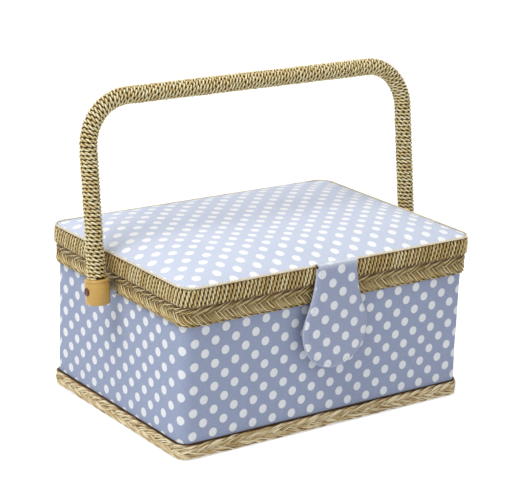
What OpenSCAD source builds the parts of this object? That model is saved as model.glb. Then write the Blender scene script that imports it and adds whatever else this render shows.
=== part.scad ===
// Sewing box with one padded hinged lid, a front flap and a swinging carrying handle.
// Frame: +X right along the front, +Y to the hinge side, +Z up, origin in the middle of the base.

/* [Box] */
// Width of the box over its fabric
box_w = 300; // [260:1:380]
// Depth of the box over its fabric
box_d = 210; // [180:1:280]
// Height of the box walls above the table
box_h = 133; // [110:1:180]
// Radius of the upright corners over the fabric
corner_r = 8.8; // [6:0.1:14]
// Thickness of the wall boards
wall_t = 4; // [3:0.1:6]
// Thickness of the fabric outside
cover_t = 0.8; // [0.5:0.1:1.5]
// Thickness of the lining inside
lining_t = 0.8; // [0.5:0.1:1.5]
// Thickness of the floor board
floor_t = 4.5; // [3:0.1:8]
// Thickness of the sheet under the box
bottom_t = 0.8; // [0.5:0.1:2]
// Thickness of the loose floor pad
floor_pad_t = 2; // [1:0.1:5]

/* [Straw braids] */
// Height of the braid round the base
base_braid_h = 15; // [10:0.5:25]
// How far the base braid stands out
base_braid_t = 3.6; // [2:0.1:5]
// Height of the braid round the rim
rim_braid_h = 17.4; // [12:0.1:25]
// How far the rim braid stands out
rim_braid_t = 4; // [2:0.1:5]

/* [Lid] */
// How far the lid rim stands out past the box
lid_overhang = 6; // [5:0.1:8]
// Radius of the lid rim's corners
lid_corner_r = 16; // [12:0.5:24]
// Height of the cord winding on the lid rim
winding_h = 16.2; // [12:0.1:24]
// Thickness of the cord winding
winding_t = 3; // [2:0.1:4]
// Thickness of the hoop under the winding
hoop_t = 4; // [3:0.1:6]
// How far the hoop's lower edge reaches in over the wall boards
seat_lap = 0.2; // [0.1:0.1:2]
// Height of the hoop's lower edge
seat_h = 3; // [2:0.1:6]
// Thickness of the lid board
lid_board_t = 3; // [2:0.1:5]
// Radius of the piping cord on the rim
piping_r = 1.2; // [0.8:0.1:2]
// Height of the padded crown above its edge
crown_h = 12; // [6:0.5:20]
// Distance from the edge over which the crown rises most
crown_run = 18; // [12:0.5:40]
// Gap between the closed lid and the box walls
lid_gap = 0.4; // [0.3:0.1:1]

/* [Lid hinges] */
// Distance between the middles of the two hinges
hinge_spacing = 180; // [120:1:200]
// Width of one hinge
hinge_w = 28; // [20:1:40]
// Height of one hinge leaf
leaf_h = 13; // [11:0.5:14]
// Thickness of a hinge leaf
leaf_t = 1.2; // [0.8:0.1:1.6]
// Outer radius of the knuckles
knuckle_r = 2.6; // [2.2:0.1:3.5]
// Radius of the hinge pins
hinge_pin_r = 1.2; // [0.8:0.05:1.6]

/* [Front flap] */
// Width of the flap where it leaves the lid
flap_neck_w = 42; // [30:1:60]
// Radius of the flap's round end
flap_lobe_r = 34; // [26:0.5:44]
// Length of the flap below its fold
flap_len = 92; // [75:1:100]
// Radius of the hollow curve along each side
flap_side_r = 110; // [60:5:150]
// Sideways place of the flap from the middle of the front
flap_x = -3; // [-20:1:20]
// Thickness of the flap fabric on each face
flap_fabric_t = 0.7; // [0.4:0.1:1.2]
// Thickness of the stiffener inside the flap
flap_core_t = 2.2; // [1.5:0.1:4]
// Radius of the fold that the flap turns on
flap_fold_r = 1.6; // [1.2:0.1:2.2]
// Angle at which the flap leans away from the box
flap_lean = 1.5; // [0.5:0.1:3]
// Radius of the two catch magnets
magnet_r = 7; // [5:0.5:10]
// Thickness of the magnet on the box
magnet_t = 3.6; // [2:0.1:4.5]

/* [Handle] */
// Distance from the box side to the middle of a handle leg
handle_standoff = 20; // [19:0.5:26]
// Height of the crossbar above the pivots
handle_rise = 161.5; // [140:0.5:200]
// Radius of the two bends along the middle of the tube
bend_r = 40; // [30:1:55]
// Outer radius of the steel tube
core_r = 6.25; // [5:0.05:7]
// Wall of the steel tube
core_wall = 1.5; // [1:0.1:2]
// Thickness of the cord winding on the tube
wrap_t = 2; // [1.5:0.1:2.5]
// Angle at which the handle stands back from upright
handle_tilt = 8; // [0:1:20]
// Depth of the pivots below the top of the walls
pivot_drop = 11; // [9:0.5:14]
// Outer radius of the end caps
cap_r = 10.6; // [9.6:0.1:12]
// How far a cap reaches above its pivot
cap_above = 10; // [8:0.5:12]
// How far a cap reaches below its pivot
cap_below = 12; // [10:0.5:16]

/* [Pivot screws] */
// Radius of the pivot screws
bolt_r = 2; // [1.5:0.1:2.5]
// Radius of the screw heads
bolt_head_r = 3.4; // [3:0.1:4]
// Height of the screw heads
bolt_head_h = 1.8; // [1.2:0.1:2.5]
// Outer radius of the spacers between wall and cap
spacer_r = 6; // [5:0.1:7]
// Thickness of the washers inside
washer_t = 1; // [0.6:0.1:1.5]
// Thickness of the nuts inside
nut_t = 3.2; // [2.4:0.1:4]

/* [Hidden] */
$fn = 64;
straw = "#b89a52";
straw_dark = "#a08040";
fabric_blue = "#8f9cc4";
fabric_pale = "#c3cde8";
board_brown = "#b08d62";
brass_yellow = "#c9a24a";
steel_grey = "#b9bcc0";
cap_tan = "#c99a4a";
screw_brown = "#7a3b22";
lining_cream = "#e9e4d8";
foam_white = "#f2efe6";

// Clearances
fit_clear = 0.1;
run_clear = 0.05;
part_gap = 0.3;
cut_over = 1;
hole_extra = 0.2;
pin_fit = 0.02;
knuckle_clear = 0.4;
piping_gap = 0.2;
spot_skim = 0.2;

// Box boards
board_w = box_w - 2 * cover_t;
board_d = box_d - 2 * cover_t;
board_r = corner_r - cover_t;
inner_w = board_w - 2 * wall_t;
inner_d = board_d - 2 * wall_t;
floor_top = bottom_t + floor_t;
clear_w = inner_w - 2 * lining_t;
clear_d = inner_d - 2 * lining_t;
pad_corner_r = 2;

// Lid levels and outlines
step_down = 1;
skirt_h = 2;
lid_w = box_w + 2 * lid_overhang;
lid_d = box_d + 2 * lid_overhang;
lid_bottom = box_h + lid_gap;
winding_bottom = lid_bottom + lid_gap;
winding_top = winding_bottom + winding_h;
hoop_w = lid_w - 2 * winding_t;
hoop_d = lid_d - 2 * winding_t;
hoop_r = lid_corner_r - winding_t;
hoop_top = winding_top - step_down;
seat_t = lid_overhang + cover_t + seat_lap - winding_t;
lid_inner_w = hoop_w - 2 * hoop_t;
lid_inner_d = hoop_d - 2 * hoop_t;
lid_inner_r = hoop_r - hoop_t;
lid_board_top = hoop_top - step_down;
lid_lining_t = 3;
piping_z = winding_top + piping_r;
piping_inset = winding_t - piping_r + part_gap;
crown_edge = hoop_top + skirt_h;
cover_inset = piping_inset + piping_r + piping_gap;
cover_a = lid_w / 2 - cover_inset;
cover_b = lid_d / 2 - cover_inset;
cover_r = lid_corner_r - cover_inset;

// Hinge axis, behind the lid rim at the seam
hinge_y = lid_d / 2 + knuckle_r + knuckle_clear;
hinge_z = box_h + lid_gap / 2;
rim_back_y = box_d / 2 + rim_braid_t;
leaf_screw_r = 1.25;
leaf_head_r = 2.3;
leaf_head_h = 0.9;
leaf_screw_x = 0.3 * hinge_w;
screw_bite = 0.8;
leaf_screw_len = rim_braid_t + cover_t + screw_bite * wall_t;
lid_screw_len = winding_t + screw_bite * hoop_t;
leaf_gap = 2;
web_t = 1.2;
knuckle_gap = 0.2;
body_leaf_top = hinge_z - leaf_gap;
lid_leaf_bottom = hinge_z + leaf_gap;

// Flap fold line and the flap's own outline
fold_y = -(lid_d / 2 + flap_fold_r + part_gap);
fold_lift = 1.1;
fold_z = winding_top + fold_lift;
lobe_z = flap_lobe_r - flap_len;
anchor_t = 2.2;
flap_core_top = -(flap_fold_r + fit_clear);
stiffener_inset = 1;
magnet_z = fold_z + lobe_z;
catch_gap = 0.6;
flap_back_y = -fold_y - flap_fold_r * cos(flap_lean) - lobe_z * sin(flap_lean);
flap_magnet_t = flap_back_y - box_d / 2 - magnet_t - catch_gap;
magnet_stem_r = 2.5;
magnet_stem_len = cover_t + 0.6 * wall_t;

// Handle pivots
pivot_z = box_h - pivot_drop;
leg_x = box_w / 2 + handle_standoff;
wrap_r = core_r + wrap_t;
spot_r = spacer_r + part_gap;
head_spot_r = bolt_head_r + part_gap;
spot_in = sqrt(cap_r * cap_r - spot_r * spot_r) - spot_skim;
spot_out = sqrt(cap_r * cap_r - head_spot_r * head_spot_r) - spot_skim;
bolt_head_x = leg_x + spot_out + part_gap;
rim_out_x = box_w / 2 + rim_braid_t;
spacer_len = leg_x - spot_in - part_gap - rim_out_x;
nut_x = clear_w / 2 - washer_t;
nut_r = bolt_r + 2.4;
bolt_tip_proud = 0.6;
bolt_tip_x = nut_x - nut_t - bolt_tip_proud;
head_slot_w = 0.8;
head_step = [0.72, 0.88];
head_edge = 0.45;
cap_floor = 4;

// A flat rectangle with round corners, centred
module rounded_rect(w, d, r) {
    union() {
        square([w - 2 * r, d], center = true);
        square([w, d - 2 * r], center = true);
        for (sx = [-1, 1], sy = [-1, 1])
            translate([sx * (w / 2 - r), sy * (d / 2 - r)]) circle(r);
    }
}

// A band of thickness t inside the outline w by d
module rounded_band(w, d, r, t) {
    difference() {
        rounded_rect(w, d, r);
        rounded_rect(w - 2 * t, d - 2 * t, r - t);
    }
}

// A rod along X from x0 to x1 at height z
module x_rod(x0, x1, r, z) {
    translate([x0, 0, z]) rotate([0, 90, 0]) cylinder(h = x1 - x0, r = r);
}

// Both places of something made for the right side
module both_sides() {
    children();
    mirror([1, 0, 0]) children();
}

// Holes for the handle's pivot screws
module pivot_holes() {
    both_sides() x_rod(bolt_tip_x - cut_over, leg_x, bolt_r + fit_clear, pivot_z);
}

// Screws of the hinge leaves, drawn from the face at y towards the front
module leaf_screws(y, z, length, r) {
    for (hx = [-1, 1], sx = [-1, 1])
        translate([hx * hinge_spacing / 2 + sx * leaf_screw_x, y, z])
            rotate([90, 0, 0]) cylinder(h = length, r = r);
}

body_leaf_z = body_leaf_top - leaf_h / 2;
lid_leaf_z = lid_leaf_bottom + leaf_h / 2;

// Holes for the screws of the lower leaves
module body_leaf_holes() {
    leaf_screws(rim_back_y + cut_over, body_leaf_z, leaf_screw_len + cut_over + hole_extra,
                leaf_screw_r + fit_clear);
}

// Holes for the screws of the upper leaves
module lid_leaf_holes() {
    leaf_screws(lid_d / 2 + cut_over, lid_leaf_z, lid_screw_len + cut_over + hole_extra,
                leaf_screw_r + fit_clear);
}

// Hole for the stem of the catch magnet
module magnet_hole() {
    translate([flap_x, -box_d / 2 - cut_over, magnet_z]) rotate([-90, 0, 0])
        cylinder(h = magnet_stem_len + cut_over + hole_extra, r = magnet_stem_r + fit_clear);
}

// Box

module bottom_sheet() {
    color(board_brown) linear_extrude(bottom_t) rounded_rect(board_w, board_d, board_r);
}

module base_board() {
    color(board_brown) translate([0, 0, bottom_t]) linear_extrude(floor_t)
        square([inner_w, inner_d], center = true);
}

// One long wall board, on the front for side -1 and the back for side 1
module long_wall(side) {
    translate([0, side * (board_d - wall_t) / 2, bottom_t]) linear_extrude(box_h - bottom_t)
        square([board_w - 2 * board_r, wall_t], center = true);
}

// One end wall board, with the hole for its pivot screw
module end_wall(side) {
    difference() {
        translate([side * (board_w - wall_t) / 2, 0, bottom_t]) linear_extrude(box_h - bottom_t)
            square([wall_t, board_d - 2 * board_r], center = true);
        pivot_holes();
    }
}

module front_panel() {
    color(board_brown) difference() {
        long_wall(-1);
        magnet_hole();
    }
}

module back_panel() {
    color(board_brown) difference() {
        long_wall(1);
        body_leaf_holes();
    }
}

module left_panel() {
    color(board_brown) end_wall(-1);
}

module right_panel() {
    color(board_brown) end_wall(1);
}

// Round corner strips between the four wall boards
module corner_posts() {
    color(board_brown) translate([0, 0, bottom_t]) linear_extrude(box_h - bottom_t)
        difference() {
            rounded_rect(board_w, board_d, board_r);
            square([inner_w, inner_d], center = true);
            square([board_w - 2 * board_r, board_d + cut_over], center = true);
            square([board_w + cut_over, board_d - 2 * board_r], center = true);
        }
}

module outer_cover() {
    color(fabric_blue) difference() {
        translate([0, 0, bottom_t]) linear_extrude(box_h - bottom_t)
            rounded_band(box_w, box_d, corner_r, cover_t);
        pivot_holes();
        body_leaf_holes();
        magnet_hole();
    }
}

module wall_lining() {
    color(lining_cream) difference() {
        translate([0, 0, floor_top]) linear_extrude(box_h - floor_top) difference() {
            square([inner_w, inner_d], center = true);
            square([clear_w, clear_d], center = true);
        }
        pivot_holes();
    }
}

module floor_pad() {
    color(lining_cream) translate([0, 0, floor_top]) linear_extrude(floor_pad_t)
        rounded_rect(clear_w - 2 * part_gap, clear_d - 2 * part_gap, pad_corner_r);
}

module base_braid() {
    color(straw) translate([0, 0, part_gap]) linear_extrude(base_braid_h)
        rounded_band(box_w + 2 * base_braid_t, box_d + 2 * base_braid_t,
                     corner_r + base_braid_t, base_braid_t);
}

module rim_braid() {
    color(straw) difference() {
        translate([0, 0, box_h - rim_braid_h]) linear_extrude(rim_braid_h)
            rounded_band(box_w + 2 * rim_braid_t, box_d + 2 * rim_braid_t,
                         corner_r + rim_braid_t, rim_braid_t);
        pivot_holes();
        body_leaf_holes();
    }
}

// Magnet button on the front wall, on a stem through the fabric
module body_magnet() {
    color(steel_grey) translate([flap_x, -box_d / 2, magnet_z]) {
        rotate([90, 0, 0]) cylinder(h = magnet_t, r = magnet_r);
        rotate([-90, 0, 0]) cylinder(h = magnet_stem_len, r = magnet_stem_r);
    }
}

// Handle pivots

// A round, slotted screw head on the face x, looking out along +X
module screw_head(x) {
    translate([x, 0, pivot_z]) rotate([0, 90, 0]) difference() {
        rotate_extrude() polygon([[0, 0], [bolt_head_r, 0], [bolt_head_r, head_edge * bolt_head_h],
                                  [head_step[0] * bolt_head_r, head_step[1] * bolt_head_h],
                                  [0, bolt_head_h]]);
        translate([0, 0, bolt_head_h])
            cube([2 * bolt_head_r, head_slot_w, bolt_head_h], center = true);
    }
}

module pivot_screws() {
    color(screw_brown) both_sides() {
        x_rod(bolt_tip_x, bolt_head_x, bolt_r, pivot_z);
        screw_head(bolt_head_x);
    }
}

module pivot_spacers() {
    color(steel_grey) both_sides() difference() {
        x_rod(rim_out_x, rim_out_x + spacer_len, spacer_r, pivot_z);
        x_rod(rim_out_x - cut_over, leg_x, bolt_r + fit_clear, pivot_z);
    }
}

module pivot_washers() {
    color(steel_grey) both_sides() difference() {
        x_rod(nut_x, nut_x + washer_t, spacer_r, pivot_z);
        x_rod(nut_x - cut_over, leg_x, bolt_r + fit_clear, pivot_z);
    }
}

module pivot_nuts() {
    color(steel_grey) both_sides() difference() {
        translate([nut_x - nut_t, 0, pivot_z]) rotate([0, 90, 0]) cylinder(h = nut_t, r = nut_r, $fn = 6);
        x_rod(bolt_tip_x - cut_over, leg_x, bolt_r + pin_fit, pivot_z);
    }
}

// Lid hinges

// One knuckle tube along X, from x0 to x1 about the hinge axis
module knuckle(x0, x1, bore_r) {
    translate([0, hinge_y, 0]) difference() {
        x_rod(x0, x1, knuckle_r, hinge_z);
        x_rod(x0 - cut_over, x1 + cut_over, bore_r, hinge_z);
    }
}

// The room that the pin needs through a leaf's web
module pin_room(x0, x1, bore_r) {
    translate([0, hinge_y, 0]) x_rod(x0 - cut_over, x1 + cut_over, bore_r, hinge_z);
}

module hinge_body_leaf() {
    w3 = hinge_w / 3;
    difference() {
        union() {
            translate([-hinge_w / 2, rim_back_y, body_leaf_top - leaf_h]) cube([hinge_w, leaf_t, leaf_h]);
            for (x0 = [-hinge_w / 2, w3 / 2 + knuckle_gap])
                translate([x0, rim_back_y, body_leaf_top - web_t])
                    cube([w3 - knuckle_gap, hinge_y - rim_back_y, web_t]);
            knuckle(-hinge_w / 2, -w3 / 2 - knuckle_gap, hinge_pin_r + pin_fit);
            knuckle(w3 / 2 + knuckle_gap, hinge_w / 2, hinge_pin_r + pin_fit);
        }
        pin_room(-hinge_w / 2, hinge_w / 2, hinge_pin_r + pin_fit);
    }
}

module hinge_lid_leaf() {
    w3 = hinge_w / 3;
    difference() {
        union() {
            translate([-hinge_w / 2, lid_d / 2, lid_leaf_bottom]) cube([hinge_w, leaf_t, leaf_h]);
            translate([-w3 / 2, lid_d / 2, lid_leaf_bottom]) cube([w3, hinge_y - lid_d / 2, web_t]);
            knuckle(-w3 / 2, w3 / 2, hinge_pin_r + run_clear);
        }
        pin_room(-w3 / 2, w3 / 2, hinge_pin_r + run_clear);
    }
}

// Both hinge places along the back
module at_hinges() {
    for (side = [-1, 1]) translate([side * hinge_spacing / 2, 0, 0]) children();
}

// Screw holes right through leaves whose inner face is at y
module leaf_holes(y, z) {
    leaf_screws(y + leaf_t + cut_over, z, leaf_t + 2 * cut_over, leaf_screw_r + fit_clear);
}

module hinge_body_leaves() {
    color(brass_yellow) difference() {
        at_hinges() hinge_body_leaf();
        leaf_holes(rim_back_y, body_leaf_z);
    }
}

module hinge_lid_leaves() {
    color(brass_yellow) difference() {
        at_hinges() hinge_lid_leaf();
        leaf_holes(lid_d / 2, lid_leaf_z);
    }
}

module hinge_pins() {
    color(steel_grey) at_hinges() translate([0, hinge_y, 0])
        x_rod(-hinge_w / 2, hinge_w / 2, hinge_pin_r, hinge_z);
}

// Round-headed screws on a leaf whose outer face is at y
module headed_leaf_screws(y, z, length) {
    leaf_screws(y, z, length + leaf_t, leaf_screw_r);
    leaf_screws(y + leaf_head_h, z, leaf_head_h, leaf_head_r);
}

module hinge_body_screws() {
    color(brass_yellow) headed_leaf_screws(rim_back_y + leaf_t, body_leaf_z, leaf_screw_len);
}

module hinge_lid_screws() {
    color(brass_yellow) headed_leaf_screws(lid_d / 2 + leaf_t, lid_leaf_z, lid_screw_len);
}

// Lid

module lid_board() {
    color(board_brown) translate([0, 0, lid_board_top - lid_board_t]) linear_extrude(lid_board_t)
        rounded_rect(lid_inner_w, lid_inner_d, lid_inner_r);
}

// Hoop whose lower edge always reaches in over the wall boards
module lid_hoop() {
    color(straw_dark) difference() {
        translate([0, 0, lid_bottom]) {
            linear_extrude(hoop_top - lid_bottom) rounded_band(hoop_w, hoop_d, hoop_r, hoop_t);
            linear_extrude(seat_h) rounded_band(hoop_w, hoop_d, hoop_r, seat_t);
        }
        lid_leaf_holes();
    }
}

module lid_winding() {
    color(straw) difference() {
        translate([0, 0, winding_bottom]) linear_extrude(winding_h)
            rounded_band(lid_w, lid_d, lid_corner_r, winding_t);
        lid_leaf_holes();
    }
}

// A quarter turn of piping at one corner
module piping_corner(sx, sy, w, d, r) {
    translate([sx * (w / 2 - r), sy * (d / 2 - r), 0]) mirror([sx < 0 ? 1 : 0, 0, 0])
        mirror([0, sy < 0 ? 1 : 0, 0]) rotate_extrude(angle = 90) translate([r, 0]) circle(piping_r);
}

// Piping cord along the rim, open where the flap crosses it
module lid_piping() {
    w = lid_w - 2 * piping_inset;
    d = lid_d - 2 * piping_inset;
    r = lid_corner_r - piping_inset;
    color(fabric_pale) difference() {
        translate([0, 0, piping_z]) union() {
            for (sx = [-1, 1], sy = [-1, 1]) piping_corner(sx, sy, w, d, r);
            for (sy = [-1, 1]) translate([0, sy * d / 2, 0]) x_rod(r - w / 2, w / 2 - r, piping_r, 0);
            for (sx = [-1, 1]) translate([sx * w / 2, d / 2 - r, 0])
                rotate([90, 0, 0]) cylinder(h = d - 2 * r, r = piping_r);
        }
        translate([flap_x, -d / 2, piping_z])
            cube([flap_neck_w + 2 * part_gap, 6 * piping_r, 4 * piping_r], center = true);
    }
}

// Height of the crown at a distance from its edge
function crown_rise(inset) = crown_h * (1 - exp(-inset / crown_run));

// A point of a rounded outline with half sides a and b, numbered round its four corners
corner_steps = 7;
ring_count = 4 * (corner_steps + 1);
function outline_point(a, b, r, k) =
    let (corner = floor(k / (corner_steps + 1)),
         step = k - corner * (corner_steps + 1),
         angle = 90 * corner + 90 * step / corner_steps,
         sx = corner == 0 || corner == 3 ? 1 : -1,
         sy = corner < 2 ? 1 : -1)
    [sx * (a - r) + r * cos(angle), sy * (b - r) + r * sin(angle)];

function outline_ring(a, b, r, z) =
    [for (k = [0 : ring_count - 1]) let (p = outline_point(a, b, r, k)) [p[0], p[1], z]];

// A cushion from base to edge with upright sides, then crowned up to its middle
crown_rings = 10;
crown_reach = 0.92;
crown_crowding = 1.7;
crown_softening = 0.7;
module crowned_pad(a, b, r, base, edge) {
    reach = crown_reach * b;
    insets = [for (i = [0 : crown_rings]) reach * pow(i / crown_rings, crown_crowding)];
    rings = [outline_ring(a, b, r, base),
             for (d = insets) outline_ring(a - d, b - d, min(r + crown_softening * d, b - d),
                                            edge + crown_rise(d))];
    points = [for (ring = rings) each ring, [0, 0, base], [0, 0, edge + crown_rise(b)]];
    low_middle = len(points) - 2;
    high_middle = len(points) - 1;
    last = ring_count * (len(rings) - 1);
    side_faces = [for (j = [0 : len(rings) - 2], k = [0 : ring_count - 1])
        let (k1 = (k + 1) % ring_count, low = j * ring_count, high = low + ring_count)
        each [[low + k, high + k, high + k1], [low + k, high + k1, low + k1]]];
    end_faces = [for (k = [0 : ring_count - 1]) let (k1 = (k + 1) % ring_count)
        each [[low_middle, k, k1], [high_middle, last + k1, last + k]]];
    polyhedron(points, [each side_faces, each end_faces], convexity = 4);
}

module lid_foam() {
    a = lid_inner_w / 2 - part_gap;
    b = lid_inner_d / 2 - part_gap;
    color(foam_white) crowned_pad(a, b, lid_inner_r, lid_board_top, crown_edge - cover_t - part_gap);
}

module lid_cover() {
    color(fabric_blue) difference() {
        crowned_pad(cover_a, cover_b, cover_r, hoop_top, crown_edge);
        crowned_pad(cover_a - cover_t, cover_b - cover_t, cover_r - cover_t,
                    hoop_top - cut_over, crown_edge - cover_t);
    }
}

module lid_lining() {
    color(lining_cream) translate([0, 0, lid_board_top - lid_board_t - lid_lining_t])
        linear_extrude(lid_lining_t)
            rounded_rect(lid_inner_w - 2 * part_gap, lid_inner_d - 2 * part_gap, lid_inner_r);
}

// Sewn strip that holds the flap to the lid's front edge
module flap_anchor() {
    inner_y = -(cover_b + piping_gap);
    color(fabric_pale) translate([flap_x - flap_neck_w / 2, -lid_d / 2, winding_top])
        cube([flap_neck_w, lid_d / 2 + inner_y, anchor_t]);
}

// Flap, drawn about its fold line and then leaned out

// Outline of the flap below its fold, with a round end and hollow sides
function side_drop() = sqrt(pow(flap_lobe_r + flap_side_r, 2) - pow(flap_neck_w / 2 + flap_side_r, 2));
function side_angle() = atan2(side_drop(), flap_neck_w / 2 + flap_side_r);
side_steps = 10;
lobe_steps = 36;
function flap_side(inset) =
    let (cx = flap_neck_w / 2 + flap_side_r, cz = lobe_z + side_drop())
    [for (i = [0 : side_steps - 1])
        let (angle = 180 + side_angle() * i / side_steps, r = flap_side_r + inset)
        [cx + r * cos(angle), cz + r * sin(angle)]];
function flap_lobe(inset) =
    [for (i = [0 : lobe_steps])
        let (angle = side_angle() - (180 + 2 * side_angle()) * i / lobe_steps, r = flap_lobe_r - inset)
        [r * cos(angle), lobe_z + r * sin(angle)]];

// The flap's flat shape, inset from its edge and cut off above the level top
module flap_shape(inset, top) {
    right = flap_side(inset);
    half = [for (p = right) [-p[0], p[1]]];
    left = [for (i = [len(half) - 1 : -1 : 0]) half[i]];
    intersection() {
        polygon([each [[right[0][0], top + cut_over]], each right, each flap_lobe(inset),
                 each left, each [[left[side_steps - 1][0], top + cut_over]]]);
        translate([-flap_lobe_r, -flap_len - cut_over])
            square([2 * flap_lobe_r, flap_len + cut_over + top]);
    }
}

// A layer of the flap between the distances y0 and y1 behind the fold line
module flap_layer(inset, top, y0, y1) {
    translate([0, y1, 0]) rotate([90, 0, 0]) linear_extrude(y1 - y0) flap_shape(inset, top);
}

module at_flap() {
    translate([flap_x, fold_y, fold_z]) rotate([-flap_lean, 0, 0]) children();
}

core_back = flap_fold_r - flap_fabric_t;
core_front = core_back - flap_core_t;

// Front fabric, which also wraps the fold
module flap_front() {
    color(fabric_blue) at_flap() union() {
        flap_layer(0, 0, core_front - flap_fabric_t, core_front);
        x_rod(-flap_neck_w / 2, flap_neck_w / 2, flap_fold_r, 0);
    }
}

module flap_stiffener() {
    color(board_brown) at_flap() flap_layer(stiffener_inset, flap_core_top, core_front, core_back);
}

module flap_back() {
    color(fabric_blue) at_flap() flap_layer(0, flap_core_top, core_back, flap_fold_r);
}

module flap_magnet() {
    color(steel_grey) at_flap() translate([0, flap_fold_r, lobe_z]) rotate([-90, 0, 0])
        cylinder(h = flap_magnet_t, r = magnet_r);
}

// Handle, drawn upright about its pivots and then tilted

// A bow of round section with legs from the level low up to the crossbar
module bow(r, low) {
    both_sides() {
        translate([leg_x, 0, low]) cylinder(h = handle_rise - bend_r - low, r = r);
        translate([leg_x - bend_r, 0, handle_rise - bend_r]) rotate([90, 0, 0])
            rotate_extrude(angle = 90) translate([bend_r, 0]) circle(r);
    }
    x_rod(bend_r - leg_x, leg_x - bend_r, r, handle_rise);
}

module at_handle() {
    translate([0, 0, pivot_z]) rotate([-handle_tilt, 0, 0]) children();
}

core_low = cap_floor - cap_below;

// Steel tube with a cross hole for each pivot screw
module handle_core() {
    color(steel_grey) at_handle() difference() {
        bow(core_r, core_low);
        bow(core_r - core_wall, core_low - cut_over);
        both_sides() x_rod(leg_x - 2 * core_r, leg_x + 2 * core_r, bolt_r + run_clear, 0);
    }
}

module handle_wrap() {
    color(straw) at_handle() difference() {
        bow(wrap_r, cap_above);
        bow(core_r, cap_above - cut_over);
    }
}

// A cap on the tube's end, with a running bore and flats for the spacer and the screw head
module end_cap() {
    color(cap_tan) translate([leg_x, 0, 0]) difference() {
        translate([0, 0, -cap_below]) cylinder(h = cap_above + cap_below, r = cap_r);
        translate([0, 0, core_low]) cylinder(h = cap_above - core_low + cut_over, r = core_r);
        x_rod(-2 * cap_r, 2 * cap_r, bolt_r + run_clear, 0);
        x_rod(-2 * cap_r, -spot_in, spot_r, 0);
        x_rod(spot_out, 2 * cap_r, head_spot_r, 0);
    }
}

module right_end_cap() {
    at_handle() end_cap();
}

module left_end_cap() {
    at_handle() mirror([1, 0, 0]) end_cap();
}

bottom_sheet();
base_board();
front_panel();
back_panel();
left_panel();
right_panel();
corner_posts();
outer_cover();
wall_lining();
floor_pad();
base_braid();
rim_braid();
body_magnet();
pivot_screws();
pivot_spacers();
pivot_washers();
pivot_nuts();
hinge_body_leaves();
hinge_pins();
hinge_body_screws();
lid_board();
lid_hoop();
lid_winding();
lid_piping();
lid_foam();
lid_cover();
lid_lining();
hinge_lid_leaves();
hinge_lid_screws();
flap_anchor();
flap_front();
flap_stiffener();
flap_back();
flap_magnet();
handle_core();
handle_wrap();
left_end_cap();
right_end_cap();
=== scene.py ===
"""Sewing box with a dotted cover, straw braids, a padded lid, a front flap and a corded handle.

Sizes are in millimetres and become metres when a mesh is finished. X runs along the front, Y from
the flap side to the hinge side, Z up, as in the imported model.
"""
import logging
import math
from dataclasses import dataclass, field
from enum import Enum
from typing import Callable, Iterable, Sequence

import bmesh
import bpy
import numpy as np
from mathutils import Matrix, Vector, noise


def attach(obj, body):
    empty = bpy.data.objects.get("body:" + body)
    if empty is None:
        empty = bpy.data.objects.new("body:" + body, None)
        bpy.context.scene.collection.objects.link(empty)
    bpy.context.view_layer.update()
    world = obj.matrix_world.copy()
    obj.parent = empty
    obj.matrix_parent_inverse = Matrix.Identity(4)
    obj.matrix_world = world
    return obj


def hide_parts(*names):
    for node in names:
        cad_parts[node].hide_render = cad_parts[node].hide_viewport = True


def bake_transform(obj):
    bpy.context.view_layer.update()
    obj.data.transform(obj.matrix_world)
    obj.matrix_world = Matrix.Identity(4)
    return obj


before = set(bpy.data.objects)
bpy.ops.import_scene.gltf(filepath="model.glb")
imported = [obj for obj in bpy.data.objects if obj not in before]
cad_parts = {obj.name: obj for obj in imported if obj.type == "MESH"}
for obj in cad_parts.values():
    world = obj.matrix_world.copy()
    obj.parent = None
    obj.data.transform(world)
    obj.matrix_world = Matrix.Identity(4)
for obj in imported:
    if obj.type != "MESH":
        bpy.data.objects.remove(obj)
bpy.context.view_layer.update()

LOG = logging.getLogger("sewing_box")
MM = 0.001
HALF_PITCH = 10.187
UP = Vector((0, 0, 1))
Rgb = tuple[int, int, int]
Piece, Data, Material = bpy.types.Object, bpy.types.Mesh, bpy.types.Material
Node, NodeTree, Socket = bpy.types.Node, bpy.types.NodeTree, bpy.types.NodeSocket
Shape, Point, Side, Face = (bmesh.types.BMesh, bmesh.types.BMVert, bmesh.types.BMEdge,
                            bmesh.types.BMFace)
Strand = tuple[np.ndarray, float | Sequence[float], np.ndarray, bool, np.ndarray | None]
Flat = tuple[float, float]
WALLS = ["front_panel", "back_panel", "left_panel", "right_panel"]
QUARTER = math.pi / 2


class Body(Enum):
    """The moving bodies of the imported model."""

    BOX = "box"
    LID = "lid"
    FLAP = "flap"
    HANDLE = "handle"


class Held(Enum):
    """Ways in which a sheet of cloth is held."""

    STRETCHED = "stretched"
    HUNG = "hung"


def srgb(colour: Rgb, share: float = 1.0) -> tuple[float, float, float, float]:
    """Turn an 8-bit screen colour into a linear colour.

    Args:
        colour: red, green and blue from 0 to 255.
        share: how much of it is kept.

    Returns:
        Linear red, green, blue and an alpha of 1.
    """
    parts = [int(c * share) / 255 for c in colour]
    linear = [c / 12.92 if c <= 0.04045 else ((c + 0.055) / 1.055) ** 2.4 for c in parts]
    return (*linear, 1.0)


# Node trees


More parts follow.
